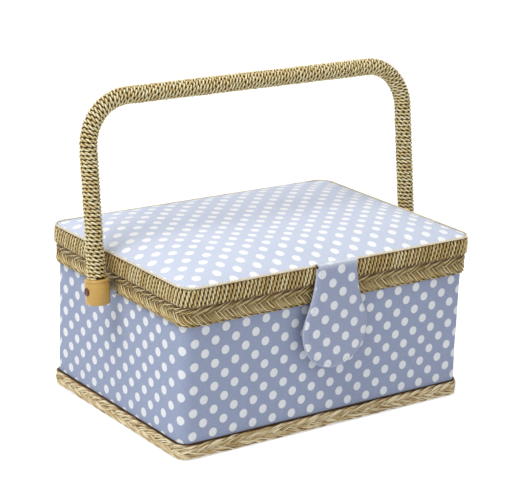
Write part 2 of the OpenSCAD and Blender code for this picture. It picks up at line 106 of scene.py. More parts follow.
class Tree:
    """A node tree that is written as nested calls."""

    def __init__(self, tree: NodeTree) -> None:
        """Wrap a node tree."""
        self.tree = tree

    def put(self, socket: Socket, value: object) -> None:
        """Link a socket to another, or set its value.

        Args:
            socket: the input.
            value: an output socket, a node whose first output is meant, or a plain value.
        """
        if isinstance(value, Node):
            value = value.outputs[0]
        if isinstance(value, Socket):
            self.tree.links.new(value, socket)
        else:
            socket.default_value = value

    def add(self, kind: str, settings: dict | None = None, **inputs: object) -> Node:
        """Add a node.

        Args:
            kind: the node's type without its ShaderNode start.
            settings: its properties.
            inputs: its sockets by name, with _ for a space, or by number as i0, i1.

        Returns:
            The node.
        """
        node = self.tree.nodes.new("ShaderNode" + kind)
        for key, value in (settings or {}).items():
            setattr(node, key, value)
        for key, value in inputs.items():
            number = key[0] == "i" and key[1:].isdigit()
            self.put(node.inputs[int(key[1:]) if number else key.replace("_", " ")], value)
        return node

    def sum(self, operation: str, *values: object) -> Socket:
        """Add a Math node.

        Args:
            operation: its operation, such as ADD.
            values: its inputs in order.

        Returns:
            Its output.
        """
        node = self.add("Math", {"operation": operation})
        for socket, value in zip(node.inputs, values):
            self.put(socket, value)
        return node.outputs[0]

    def mix(self, share: object, low: object, high: object, blend: str = "MIX") -> Socket:
        """Mix two colours.

        Args:
            share: the part of the second colour.
            low: the first colour.
            high: the second colour.
            blend: the blend type.

        Returns:
            The mixed colour.
        """
        node = self.add("Mix", {"data_type": "RGBA", "blend_type": blend})
        for index, value in ((0, share), (6, low), (7, high)):
            self.put(node.inputs[index], value)
        return node.outputs[2]

    def noise(self, vector: object, scale: float, detail: float = 2.0) -> Socket:
        """Add a Noise Texture and return its value."""
        return self.add("TexNoise", Vector=vector, Scale=scale, Detail=detail).outputs[0]

    def span(self, value: object, low: float, high: float, to_low: float, to_high: float) -> Socket:
        """Map a value from one range smoothly to another, and hold it there."""
        node = self.add("MapRange", {"interpolation_type": "SMOOTHSTEP"}, Value=value)
        for index, number in enumerate((low, high, to_low, to_high), 1):
            node.inputs[index].default_value = number
        return node.outputs[0]

    def group(self, group: NodeTree, **inputs: object) -> Node:
        """Place a node group and give it its inputs."""
        node = self.tree.nodes.new("ShaderNodeGroup")
        node.node_tree = group
        for key, value in inputs.items():
            self.put(node.inputs[key], value)
        return node


class Effect(Tree):
    """A shared node group with named inputs and outputs."""

    KINDS = {"v": "NodeSocketVector", "f": "NodeSocketFloat", "c": "NodeSocketColor"}

    def __init__(self, name: str, inputs: dict[str, str], outputs: dict[str, str]) -> None:
        """Make the group.

        Args:
            name: the group's name.
            inputs: kinds of its inputs by name, v, f or c.
            outputs: kinds of its outputs by name.
        """
        tree = bpy.data.node_groups.new(name, "ShaderNodeTree")
        for names, way in ((inputs, "INPUT"), (outputs, "OUTPUT")):
            for label, kind in names.items():
                tree.interface.new_socket(label, in_out=way, socket_type=self.KINDS[kind])
        super().__init__(tree)
        self.source = tree.nodes.new("NodeGroupInput")
        self.target = tree.nodes.new("NodeGroupOutput")

    def give(self, **outputs: object) -> NodeTree:
        """Link the outputs and return the finished group."""
        for key, value in outputs.items():
            self.put(self.target.inputs[key], value)
        return self.tree


def dots_effect() -> NodeTree:
    """Round dots where both grid coordinates are whole and their sum is even."""
    e = Effect("Dots", {"Grid": "v", "Size": "f", "Fray": "f"}, {"Mask": "f"})
    xyz = e.add("SeparateXYZ", Vector=e.source.outputs["Grid"])
    ends = []
    for way in ("ADD", "SUBTRACT"):
        half = e.sum("MULTIPLY", e.sum(way, xyz.outputs[0], xyz.outputs[1]), 0.5)
        ends.append(e.sum("POWER", e.sum("SUBTRACT", half, e.sum("ROUND", half)), 2.0))
    far = e.sum("SQRT", e.sum("ADD", *ends))
    reach = e.sum("SUBTRACT", e.source.outputs["Size"], far)
    reach = e.sum("ADD", reach, e.source.outputs["Fray"])
    return e.give(Mask=e.span(reach, -0.014, 0.014, 0.0, 1.0))


def weave_effect() -> NodeTree:
    """Plain weave: warp and weft threads that cross over and under."""
    e = Effect("Weave", {"Grid": "v", "Threads": "f"}, {"Height": "f", "Thread": "f"})
    node = e.add("VectorMath", {"operation": "SCALE"}, i0=e.source.outputs["Grid"])
    e.put(node.inputs["Scale"], e.source.outputs["Threads"])
    xyz = e.add("SeparateXYZ", Vector=node)
    waves = [e.sum("SINE", e.sum("MULTIPLY", xyz.outputs[k], math.pi)) for k in (0, 1)]
    arcs = [e.sum("POWER", e.sum("ABSOLUTE", wave), 0.6) for wave in waves]
    cells = e.sum("ADD", e.sum("FLOOR", xyz.outputs[0]), e.sum("FLOOR", xyz.outputs[1]))
    over = e.sum("MULTIPLY", e.sum("PINGPONG", cells, 1.0), 0.55)
    warp = e.sum("MULTIPLY", arcs[0], e.sum("ADD", 0.45, over))
    weft = e.sum("MULTIPLY", arcs[1], e.sum("SUBTRACT", 1.0, over))
    drawn = e.add("VectorMath", {"operation": "MULTIPLY"}, i0=node, i1=(0.08, 1.1, 1.0))
    return e.give(Height=e.sum("MAXIMUM", warp, weft), Thread=e.noise(drawn, 1.0, 1.0))


def straw_effect() -> NodeTree:
    """Twisted paper straw: three tones by strand, streaks along it and painted shade in the depths.
    """
    e = Effect("Straw", {"Pale": "c", "Gold": "c", "Brown": "c", "Dirt": "f"},
               {"Color": "c", "Height": "f", "Gloss": "f"})
    tone, painted_shade, along, around = (e.add("Attribute", {"attribute_name": name}).outputs["Fac"]
                                 for name in ("tone", "painted_shade", "along", "around"))
    place = e.add("CombineXYZ", X=e.sum("MULTIPLY", along, 90.0), Y=e.sum("MULTIPLY", around, 7.0),
                  Z=e.sum("MULTIPLY", tone, 61.0))
    streak = e.noise(place, 1.0, 3.0)
    spot = e.add("CombineXYZ", X=e.sum("MULTIPLY", along, 160.0), Z=e.sum("MULTIPLY", tone, 93.0))
    patch = e.noise(spot, 1.0, 2.0)
    pale, gold, brown, shade_strength = (e.source.outputs[key] for key in ("Pale", "Gold", "Brown", "Dirt"))
    change = e.sum("MULTIPLY", e.sum("SUBTRACT", streak, 0.5), 0.9)
    key = e.sum("ADD", e.sum("MULTIPLY", tone, 0.75), change)
    base = e.mix(e.span(key, 0.05, 0.62, 0.0, 1.0), pale, gold)
    base = e.mix(e.span(key, 0.62, 1.05, 0.0, 0.55), base, brown)
    base = e.mix(e.span(patch, 0.55, 0.8, 0.0, 0.35), base, pale)
    # Painted shade: the straw darkens towards brown where it lies deep among the other strands.
    shade = e.sum("MULTIPLY", e.sum("POWER", painted_shade, 1.4), shade_strength)
    colour = e.mix(shade, base, e.mix(1.0, base, brown, "MULTIPLY"))
    return e.give(Color=colour, Height=streak, Gloss=e.span(streak, 0.3, 0.75, 0.42, 0.68))


def mottle_effect() -> NodeTree:
    """Uneven tone, fine grain and scratches for boards, plastic and metal."""
    e = Effect("Mottle", {"Place": "v", "Size": "f"}, {"Cloud": "f", "Grain": "f", "Scratch": "f"})
    grown = e.add("VectorMath", {"operation": "SCALE"}, i0=e.source.outputs["Place"])
    e.put(grown.inputs["Scale"], e.source.outputs["Size"])
    drawn = e.add("VectorMath", {"operation": "MULTIPLY"}, i0=grown, i1=(3.0, 40.0, 26.0))
    return e.give(Cloud=e.noise(grown, 1.0, 3.0), Grain=e.noise(grown, 22.0, 2.0),
                  Scratch=e.span(e.noise(drawn, 1.0, 1.0), 0.62, 0.78, 0.0, 1.0))


class Effects:
    """The shared node groups, made once."""

    def __init__(self) -> None:
        """Make every group."""
        self.dots = dots_effect()
        self.weave = weave_effect()
        self.straw = straw_effect()
        self.mottle = mottle_effect()


class Dressed(Tree):
    """A material with its Principled shader."""

    def __init__(self, name: str, **plain: object) -> None:
        """Make the material.

        Args:
            name: its name.
            plain: constant inputs of the shader, with _ for a space.
        """
        self.material = bpy.data.materials.new(name)
        self.material.use_nodes = True
        super().__init__(self.material.node_tree)
        self.shader = self.tree.nodes["Principled BSDF"]
        for key, value in plain.items():
            self.shader.inputs[key.replace("_", " ")].default_value = value

    def finish(self, colour: object, rough: object, height: object, strength: float,
               depth: float) -> Material:
        """Link the shader's varying inputs.

        Args:
            colour: base colour.
            rough: roughness.
            height: height of the bump.
            strength: strength of the bump.
            depth: depth of the bump in metres.

        Returns:
            The material.
        """
        self.put(self.shader.inputs["Base Color"], colour)
        self.put(self.shader.inputs["Roughness"], rough)
        bump = self.add("Bump", Height=height, Strength=strength, Distance=depth)
        self.put(self.shader.inputs["Normal"], bump.outputs[0])
        return self.material


@dataclass(frozen=True)
class ClothFinish:
    """Woven cotton, with or without printed dots, on a UV map in half dot pitches."""

    name: str
    ground: Rgb
    dot: Rgb | None = None
    size: float = 0.272
    threads: float = 26.0
    bump: float = 0.35

    def make(self, effects: Effects) -> Material:
        """Build the material."""
        m = Dressed(self.name, Sheen_Weight=0.12, Sheen_Roughness=0.5, Specular_IOR_Level=0.25)
        grid = m.add("UVMap", {"uv_map": "UVMap"}).outputs[0]
        weave = m.group(effects.weave, Grid=grid, Threads=self.threads)
        high, thread = weave.outputs["Height"], weave.outputs["Thread"]
        wash = m.noise(m.add("TexCoord").outputs["Object"], 14.0, 3.0)
        # Painted shade: the ground darkens in the hollows of the weave, between the thread tops.
        colour = m.mix(m.span(high, 0.3, 0.95, 0.0, 1.0),
                       srgb(self.ground, 0.86), srgb(self.ground))
        colour = m.mix(m.span(thread, 0.35, 0.7, 0.0, 0.10), colour, srgb((250, 250, 252)))
        if self.dot:
            fray = m.sum("MULTIPLY", m.sum("SUBTRACT", high, 0.6), 0.018)
            dots = m.group(effects.dots, Grid=grid, Size=self.size, Fray=fray)
            # The ink gets the same painted shade in the hollows of the weave.
            ink = m.mix(m.span(high, 0.2, 0.8, 0.0, 1.0), srgb(self.dot, 0.93), srgb(self.dot))
            colour = m.mix(dots.outputs["Mask"], colour, ink)
        colour = m.mix(m.span(wash, 0.3, 0.7, 0.0, 0.07), colour, srgb((128, 134, 160)))
        # Painted light: paler where the flap cloth lies on the lid's top and over the top of the
        # fold, most on the thread tops.
        lit_top = m.add("Attribute", {"attribute_name": "lit_top"}).outputs["Fac"]
        top_light = m.sum("MULTIPLY", lit_top, m.span(high, 0.3, 0.8, 0.4, 0.75))
        colour = m.mix(top_light, colour, srgb((236, 240, 250)))
        return m.finish(colour, m.span(high, 0.0, 1.0, 0.95, 0.82), high, self.bump, 0.00012)


@dataclass(frozen=True)
class StrawFinish:
    """Straw-coloured paper cord."""

    name: str
    pale: Rgb
    gold: Rgb
    brown: Rgb
    # Strength of the painted shade in the depths of the straw work.
    shade_strength: float = 0.9
    gloss: float = 0.35

    def make(self, effects: Effects) -> Material:
        """Build the material."""
        m = Dressed(self.name, Specular_IOR_Level=self.gloss, Sheen_Weight=0.04)
        node = m.group(effects.straw, Pale=srgb(self.pale), Gold=srgb(self.gold),
                       Brown=srgb(self.brown), Dirt=self.shade_strength)
        colour, gloss, height = (node.outputs[key] for key in ("Color", "Gloss", "Height"))
        return m.finish(colour, gloss, height, 0.5, 0.0002)


@dataclass(frozen=True)
class HardFinish:
    """Board, moulded plastic or metal, with an uneven tone, grain and scratches."""

    name: str
    base: Rgb
    tint: Rgb
    rough: tuple[float, float]
    metal: float = 0.0
    size: float = 40.0
    bump: float = 0.1
    coat: float = 0.0

    def make(self, effects: Effects) -> Material:
        """Build the material."""
        m = Dressed(self.name, Metallic=self.metal, Coat_Weight=self.coat, Coat_Roughness=0.25)
        node = m.group(effects.mottle, Place=m.add("TexCoord").outputs["Object"], Size=self.size)
        cloud, grain, scratch = (node.outputs[key] for key in ("Cloud", "Grain", "Scratch"))
        colour = m.mix(m.span(cloud, 0.3, 0.7, 0.0, 1.0), srgb(self.base), srgb(self.tint))
        colour = m.mix(m.span(grain, 0.5, 0.8, 0.0, 0.25), colour, srgb(self.base, 0.7))
        colour = m.mix(m.sum("MULTIPLY", scratch, 0.18), colour, srgb((240, 236, 228)))
        rough = m.sum("ADD", m.span(cloud, 0.25, 0.75, *self.rough),
                      m.sum("MULTIPLY", scratch, 0.12))
        height = m.sum("SUBTRACT", grain, m.sum("MULTIPLY", scratch, 0.4))
        return m.finish(colour, rough, height, self.bump, 0.0002)


CLOTHS = {
    "wall": ClothFinish("Dotted wall cotton", (160, 173, 205), (244, 247, 251)),
    # Painted light: the lid's ground and dots are the walls' cloth made paler, for the light on its
    # top.
    "lid": ClothFinish("Dotted lid cotton", (212, 221, 241), (252, 253, 254)),
    "flap": ClothFinish("Dotted flap cotton", (164, 175, 207), (244, 247, 251)),
    "lining": ClothFinish("Cream lining", (226, 219, 203), threads=22.0, bump=0.45),
    "thread": ClothFinish("Sewing thread", (196, 205, 226), threads=40.0, bump=0.5),
}
STRAWS = {
    "handle": StrawFinish("Handle straw cord", (252, 242, 196), (226, 202, 136), (112, 82, 28),
                          1.0, 0.45),
    "rim": StrawFinish("Lid rim straw cord", (250, 234, 180), (216, 188, 120), (104, 76, 28), 1.0,
                       0.4),
    "braid": StrawFinish("Rim braid straw", (246, 230, 178), (206, 177, 108), (96, 70, 26), 1.0,
                         0.4),
    "base": StrawFinish("Base braid straw", (250, 238, 200), (212, 184, 128), (120, 84, 40), 0.9,
                        0.35),
    # A dark brown that paints the shade in the gaps of the straw work.
    "shade": StrawFinish("Ground under the straw", (110, 84, 44), (92, 68, 34), (58, 42, 20), 0.6,
                         0.1),
    "piping": StrawFinish("Pale piping cord", (248, 240, 214), (228, 210, 168), (128, 100, 56),
                          0.8, 0.3),
}
HARDS = {
    "board": HardFinish("Raw fibreboard", (158, 124, 88), (136, 104, 70), (0.85, 0.95), size=90.0,
                        bump=0.5),
    "plastic": HardFinish("Tan moulded plastic", (206, 168, 90), (198, 157, 80), (0.34, 0.46),
                          size=60.0, bump=0.04, coat=0.15),
    "brass": HardFinish("Brass plate", (214, 178, 104), (192, 154, 84), (0.22, 0.38), 1.0, 70.0,
                        0.06),
    "steel": HardFinish("Zinc-plated steel", (196, 198, 200), (172, 175, 180), (0.25, 0.42), 1.0,
                        90.0, 0.06),
    "screw": HardFinish("Brown painted screw", (112, 52, 30), (84, 38, 24), (0.35, 0.5),
                        size=120.0, bump=0.1, coat=0.2),
}


class Finishes:
    """Every material of the object, by name."""

    def __init__(self) -> None:
        """Build the shared effects and then each material."""
        effects = Effects()
        self.made = {key: finish.make(effects) for table in (CLOTHS, STRAWS, HARDS)
                     for key, finish in table.items()}

    def __getitem__(self, key: str) -> Material:
        """Look a material up."""
        return self.made[key]


# Shapes


@dataclass(frozen=True)
class Outline:
    """A rectangle with round corners, walked anticlockwise from the middle of its front side."""

    half_x: float
    half_y: float
    radius: float

    def runs(self) -> list[tuple[float, int]]:
        """Return each run's length, and 0 for a straight one or 1 for a corner."""
        side_x, side_y = 2 * (self.half_x - self.radius), 2 * (self.half_y - self.radius)
        turn = QUARTER * self.radius
        return [(side_x / 2, 0), (turn, 1), (side_y, 0), (turn, 1), (side_x, 0), (turn, 1),
                (side_y, 0), (turn, 1), (side_x / 2, 0)]

    def length(self) -> float:
        """Return the length of the whole walk."""
        return sum(run for run, _ in self.runs())

    def at(self, walked: float) -> tuple[Vector, Vector]:
        """Find a place on the outline.

        Args:
            walked: distance from the middle of the front.

        Returns:
            The point and the outward direction there, both level.
        """
        walked %= self.length()
        point, angle = Vector((0, -self.half_y, 0)), 0.0
        for run, turns in self.runs():
            step = min(walked, run)
            ahead = Vector((math.cos(angle), math.sin(angle), 0))
            out = Vector((ahead.y, -ahead.x, 0))
            if turns:
                centre = point - out * self.radius
                angle += step / self.radius
                out = Vector((math.sin(angle), -math.cos(angle), 0))
                point = centre + out * self.radius
            else:
                point = point + ahead * step
            walked -= step
            if walked <= 1e-9:
                break
        return point, out


def link(piece: Piece) -> Piece:
    """Put an object into the scene."""
    bpy.context.scene.collection.objects.link(piece)
    return piece


def evaluated(piece: Piece) -> Piece:
    """Return an object as its modifiers leave it."""
    bpy.context.view_layer.update()
    return piece.evaluated_get(bpy.context.evaluated_depsgraph_get())


def read(items: object, key: str, width: int = 1, kind: type = np.float32) -> np.ndarray:
    """Read a property of every item.

    Args:
        items: a collection, such as a mesh's vertices.
        key: the property.
        width: how many numbers it has.
        kind: their type.

    Returns:
        An array, with a row for each item if it has more than one number.
    """
    values = np.empty(len(items) * width, kind)
    items.foreach_get(key, values)
    return values.reshape(-1, width) if width > 1 else values


def write(data: Data, key: str, values: np.ndarray) -> None:
    """Write a point attribute."""
    layer = data.attributes.new(key, "FLOAT", "POINT")
    layer.data.foreach_set("value", values.astype(np.float32))


def only(made: Iterable[object], kind: type) -> list:
    """Return the items of one kind."""
    return [item for item in made if isinstance(item, kind)]


def raise_rim(mesh: Shape, rim: list[Side]) -> tuple[list[Side], list[Point]]:
    """Extrude an open rim where it stands.

    Args:
        mesh: the bmesh.
        rim: the rim's edges.

    Returns:
        The edges and the points of the new rim.
    """
    made = bmesh.ops.extrude_edge_only(mesh, edges=rim)["geom"]
    verts = only(made, Point)
    chosen = set(verts)
    return [e for e in only(made, Side) if all(v in chosen for v in e.verts)], verts


def open_rim(mesh: Shape) -> list[Side]:
    """Return the edges with a face on one side only."""
    return [edge for edge in mesh.edges if edge.is_boundary]


def to_piece(name: str, mesh: Shape, smooth: bool = True) -> Piece:
    """Turn a bmesh in millimetres into an object in metres.

    Args:
        name: the object's name.
        mesh: the bmesh, which is freed.
        smooth: whether its faces are shaded smooth.

    Returns:
        The object, linked to the scene.
    """
    bmesh.ops.scale(mesh, vec=(MM, MM, MM), verts=mesh.verts)
    for face in mesh.faces:
        face.smooth = smooth
    data = bpy.data.meshes.new(name)
    mesh.to_mesh(data)
    mesh.free()
    return link(bpy.data.objects.new(name, data))


def lay_uv(mesh: Shape, place: Callable[[Vector, Vector], Flat]) -> None:
    """Write a UV map.

    Args:
        mesh: the bmesh.
        place: gives the UV of a corner from its point and the middle of its face.
    """
    layer = mesh.loops.layers.uv.get("UVMap") or mesh.loops.layers.uv.new("UVMap")
    for each in mesh.faces:
        middle = each.calc_center_median()
        for loop in each.loops:
            loop[layer].uv = place(loop.vert.co, middle)


def sharpen(piece: Piece, degrees: float = 35.0) -> None:
    """Keep edges sharper than an angle crisp under smooth shading."""
    mesh = bmesh.new()
    mesh.from_mesh(piece.data)
    for edge in mesh.edges:
        bend = edge.calc_face_angle(0.0)
        edge.smooth = len(edge.link_faces) == 2 and bend < math.radians(degrees)
    mesh.to_mesh(piece.data)
    mesh.free()


def fit(piece: Piece, body: Body, finish: Material,
        stands_for: Sequence[str] = ()) -> Piece:
    """Dress a piece and let it move with a body.

    Args:
        piece: the finished mesh object.
        body: the body that it moves with.
        finish: its material.
        stands_for: the model's nodes that it replaces.

    Returns:
        The piece.
    """
    dress(piece, finish, stands_for)
    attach(piece, body.value)
    return piece


def dress(piece: Piece, finish: Material, stands_for: Sequence[str]) -> None:
    """Give a piece its material and hide the nodes that it replaces."""
    piece.data.materials.clear()
    piece.data.materials.append(finish)
    if stands_for:
        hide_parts(*stands_for)
    LOG.info("%s: %d faces", piece.name, len(piece.data.polygons))


@dataclass
class CordBank:
    """Many round strands, made as one bevelled curve that becomes one mesh with attributes."""

    name: str
    radius: float
    strands: list[Strand] = field(default_factory=list)
    SIDES: int = 6
    # Strength of the painted shade on the sides of a strand that face into the work.
    side_shade: float = 1.0

    def add(self, points: Iterable[Vector], tone: float | Sequence[float],
            painted_shade: Sequence[float] | None = None, closed: bool = False,
            outs: Sequence[Vector] | None = None) -> None:
        """Add a strand.

        Args:
            points: its centreline in millimetres.
            tone: its tone from 0, pale, to 1, brown.
            painted_shade: how far under others each point is, from 0 to 1; the finish paints it as
                shade.
            closed: whether it ends where it starts.
            outs: directions out of the work; the sides of the strand that face away from them get
                painted shade.
        """
        line = np.array([tuple(p) for p in points], float)
        away = None if outs is None else np.array([tuple(o) for o in outs], float)
        depth = np.zeros(len(line)) if painted_shade is None else np.array(painted_shade, float)
        self.strands.append((line, tone, depth, closed, away))

    def build(self) -> Piece:
        """Build the mesh.

        Returns:
            The object, in metres.
        """
        curve = bpy.data.curves.new(self.name + "_line", "CURVE")
        curve.dimensions = "3D"
        curve.bevel_depth = self.radius * MM
        curve.bevel_resolution = self.SIDES // 2 - 2
        for line, _, _, closed, _ in self.strands:
            spline = curve.splines.new("POLY")
            spline.points.add(len(line) - 1)
            spline.points.foreach_set("co", np.hstack([line * MM, np.ones((len(line), 1))]).ravel())
            spline.use_cyclic_u = closed
        holder = link(bpy.data.objects.new(self.name + "_line", curve))
        data = bpy.data.meshes.new_from_object(evaluated(holder))
        bpy.data.objects.remove(holder)
        bpy.data.curves.remove(curve)
        data.name = self.name
        self.write_attributes(data)
        self.close_ends(data)
        data.polygons.foreach_set("use_smooth", np.ones(len(data.polygons), bool))
        return link(bpy.data.objects.new(self.name, data))

    @staticmethod
    def close_ends(data: Data) -> None:
        """Close the ends of the open strands."""
        mesh = bmesh.new()
        mesh.from_mesh(data)
        bmesh.ops.holes_fill(mesh, edges=open_rim(mesh), sides=0)
        mesh.to_mesh(data)
        mesh.free()

    def write_attributes(self, data: Data) -> None:
        """Write tone, deep (painted shade), along and around, by the order in which the rings were
        made.
        """
        columns: dict[str, list[np.ndarray]] = {"tone": [], "painted_shade": [], "along": [], "around": []}
        ring = np.abs(2 * np.arange(self.SIDES) / self.SIDES - 1)
        total = sum(len(strand[0]) for strand in self.strands) * self.SIDES
        if total != len(data.vertices):
            raise ValueError(f"{self.name}: {total} values for {len(data.vertices)} points")
        points, start = read(data.vertices, "co", 3) / MM, 0
        for line, tone, painted_shade, _, outs in self.strands:
            rings = points[start:start + len(line) * self.SIDES].reshape(len(line), self.SIDES, 3)
            start += len(line) * self.SIDES
            # Painted shade on the sides that face into the work.
            sides = np.zeros((len(line), self.SIDES))
            if outs is not None:
                facing = ((rings - line[:, None]) * outs[:, None]).sum(2) / self.radius
                sides = np.clip(0.72 - 0.8 * facing, 0, 1) * self.side_shade
            steps = np.linalg.norm(np.diff(line, axis=0), axis=1)
            along = np.concatenate([[0.0], np.cumsum(steps)]) * MM
            columns["tone"].append(np.repeat(np.broadcast_to(tone, len(line)), self.SIDES))
            # Painted shade from depth and from the sides that face into the work.
            columns["painted_shade"].append(np.clip(np.clip(painted_shade, 0, 1)[:, None] + sides, 0, 1).ravel())
            columns["along"].append(np.repeat(along, self.SIDES))
            columns["around"].append(np.tile(ring, len(line)))
        for key, parts in columns.items():
            write(data, key, np.concatenate(parts))


def tone_of(index: int, seed: int = 0) -> float:
    """Return a steady, seemingly random tone from 0 to 1 for a strand."""
    return float(np.random.RandomState(7919 * (seed + 1) + index).rand())


@dataclass(frozen=True)
class Puff:
    """Settings of a short cloth simulation that fills a pad."""

    pressure: float = 4.0
    cap: float = 3.0
    frames: int = 20
    stiffness: float = 12.0

    def run(self, piece: Piece, held: Callable[[Vector], float]) -> None:
        """Swell a piece and keep the result in its mesh.

        Args:
            piece: the pad, in metres.
            held: how firmly a point, in millimetres, is held, from 0 to 1.
        """
        group = piece.vertex_groups.new(name="held")
        for vert in piece.data.vertices:
            group.add([vert.index], held(vert.co / MM), "REPLACE")
        cloth = piece.modifiers.new("fill", "CLOTH")
        cloth.settings.use_pressure = True
        cloth.settings.uniform_pressure_force = self.pressure
        cloth.settings.tension_stiffness = cloth.settings.compression_stiffness = self.stiffness
        cloth.settings.vertex_group_mass = group.name
        cloth.settings.effector_weights.gravity = 0.0
        cloth.collision_settings.use_collision = False
        scene = bpy.context.scene
        for number in range(1, self.frames + 1):
            scene.frame_set(number)
        graph = bpy.context.evaluated_depsgraph_get()
        swollen = piece.evaluated_get(graph).data
        old = read(piece.data.vertices, "co", 3)
        moves = read(swollen.vertices, "co", 3) - old
        length = np.maximum(np.linalg.norm(moves, axis=1), 1e-9)
        moves *= np.minimum(1.0, self.cap * MM / length)[:, None]
        piece.modifiers.remove(cloth)
        piece.vertex_groups.remove(group)
        scene.frame_set(1)
        piece.data.vertices.foreach_set("co", (old + moves).ravel())
        piece.data.update()
        most = float(np.linalg.norm(moves, axis=1).max()) / MM
        LOG.info("%s: swelled by up to %.2f mm", piece.name, most)


@dataclass(frozen=True)
class Pad:
    """A closed, crowned pad over a rounded rectangle, whose edge drops and may step in below."""

    name: str
    outline: Outline
    edge: float
    low: float
    crown: float
    run: float
    cells: tuple[int, int] = (76, 54)
    step: tuple[float, float] = (0.0, 0.0)
    turned: bool = False
    dimple: float = 0.25

    def rise(self, x: float, y: float) -> float:
        """Return the crown's height at a place."""
        gaps = (max(self.outline.half_x - abs(x), 0.0), max(self.outline.half_y - abs(y), 0.0))
        lift = math.prod(1 - math.exp(-gap / self.run) for gap in gaps)
        wave = noise.noise(Vector((x, y, 0)) / 38) * self.dimple
        return self.crown * lift + wave * min(1.0, min(gaps) / 12)

    def rounded(self, x: float, y: float) -> Vector:
        """Move a point of the full rectangle so that its corners become round."""
        r = self.outline.radius
        p, q = abs(x) - (self.outline.half_x - r), abs(y) - (self.outline.half_y - r)
        if p > 0 and q > 0:
            p, q = p / r, q / r
            grown = (p * math.sqrt(1 - q * q / 2), q * math.sqrt(1 - p * p / 2))
            x = math.copysign(self.outline.half_x - r + grown[0] * r, x)
            y = math.copysign(self.outline.half_y - r + grown[1] * r, y)
        return Vector((x, y, 0))

    def build(self, puff: Puff | None = None) -> Piece:
        """Build the pad.

        Args:
            puff: the simulation that fills it, if any.

        Returns:
            The object.
        """
        mesh = bmesh.new()
        bmesh.ops.create_grid(mesh, x_segments=self.cells[0], y_segments=self.cells[1], size=1.0)
        for vert in mesh.verts:
            flat = self.rounded(vert.co.x * self.outline.half_x, vert.co.y * self.outline.half_y)
            vert.co = (flat.x, flat.y, self.edge + self.rise(flat.x, flat.y))
        lay_uv(mesh, lambda point, _: (point.x / HALF_PITCH, point.y / HALF_PITCH))
        self.skirt(mesh, self.edge, self.low + self.step[1], 0.0)
        if self.step[0]:
            self.skirt(mesh, self.low + self.step[1], self.low + self.step[1], self.step[0])
            self.skirt(mesh, self.low + self.step[1], self.low, 0.0)
        bmesh.ops.contextual_create(mesh, geom=open_rim(mesh))
        bmesh.ops.recalc_face_normals(mesh, faces=mesh.faces)
        if self.turned:
            middle = self.edge + self.low
            for vert in mesh.verts:
                vert.co.z = middle - vert.co.z
            bmesh.ops.reverse_faces(mesh, faces=mesh.faces)
        piece = to_piece(self.name, mesh)
        sharpen(piece, 50.0)
        if puff:
            puff.run(piece, self.held)
        return piece

    def skirt(self, mesh: Shape, start: float, end: float, inward: float) -> None:
        """Extend the open edge down or inwards, and carry its UV on over the edge."""
        made = bmesh.ops.extrude_edge_only(mesh, edges=open_rim(mesh))["geom"]
        scale = [1 - inward / half for half in (self.outline.half_x, self.outline.half_y)]
        layer = mesh.loops.layers.uv["UVMap"]
        for vert in only(made, Point):
            vert.co = (vert.co.x * scale[0], vert.co.y * scale[1], vert.co.z + end - start)
        drop = (start - end + self.edge - start) / HALF_PITCH
        for side in only(made, Face):
            middle = side.calc_center_median()
            out = Vector((middle.x / self.outline.half_x, middle.y / self.outline.half_y, 0))
            out.normalize()
            for loop in side.loops:
                lowered = drop if abs(loop.vert.co.z - end) < 1e-4 else 0.0
                loop[layer].uv = (loop.vert.co.x / HALF_PITCH + out.x * lowered,
                                  loop.vert.co.y / HALF_PITCH + out.y * lowered)

    def held(self, point: Vector) -> float:
        """Hold the edge, sides and underside, and let the crown move."""
        gaps = (self.outline.half_x - abs(point.x), self.outline.half_y - abs(point.y))
        height = self.low + self.edge - point.z if self.turned else point.z
        return 1.0 if height < self.edge + 0.02 or min(gaps) < 1.5 else 0.0


# Straw work


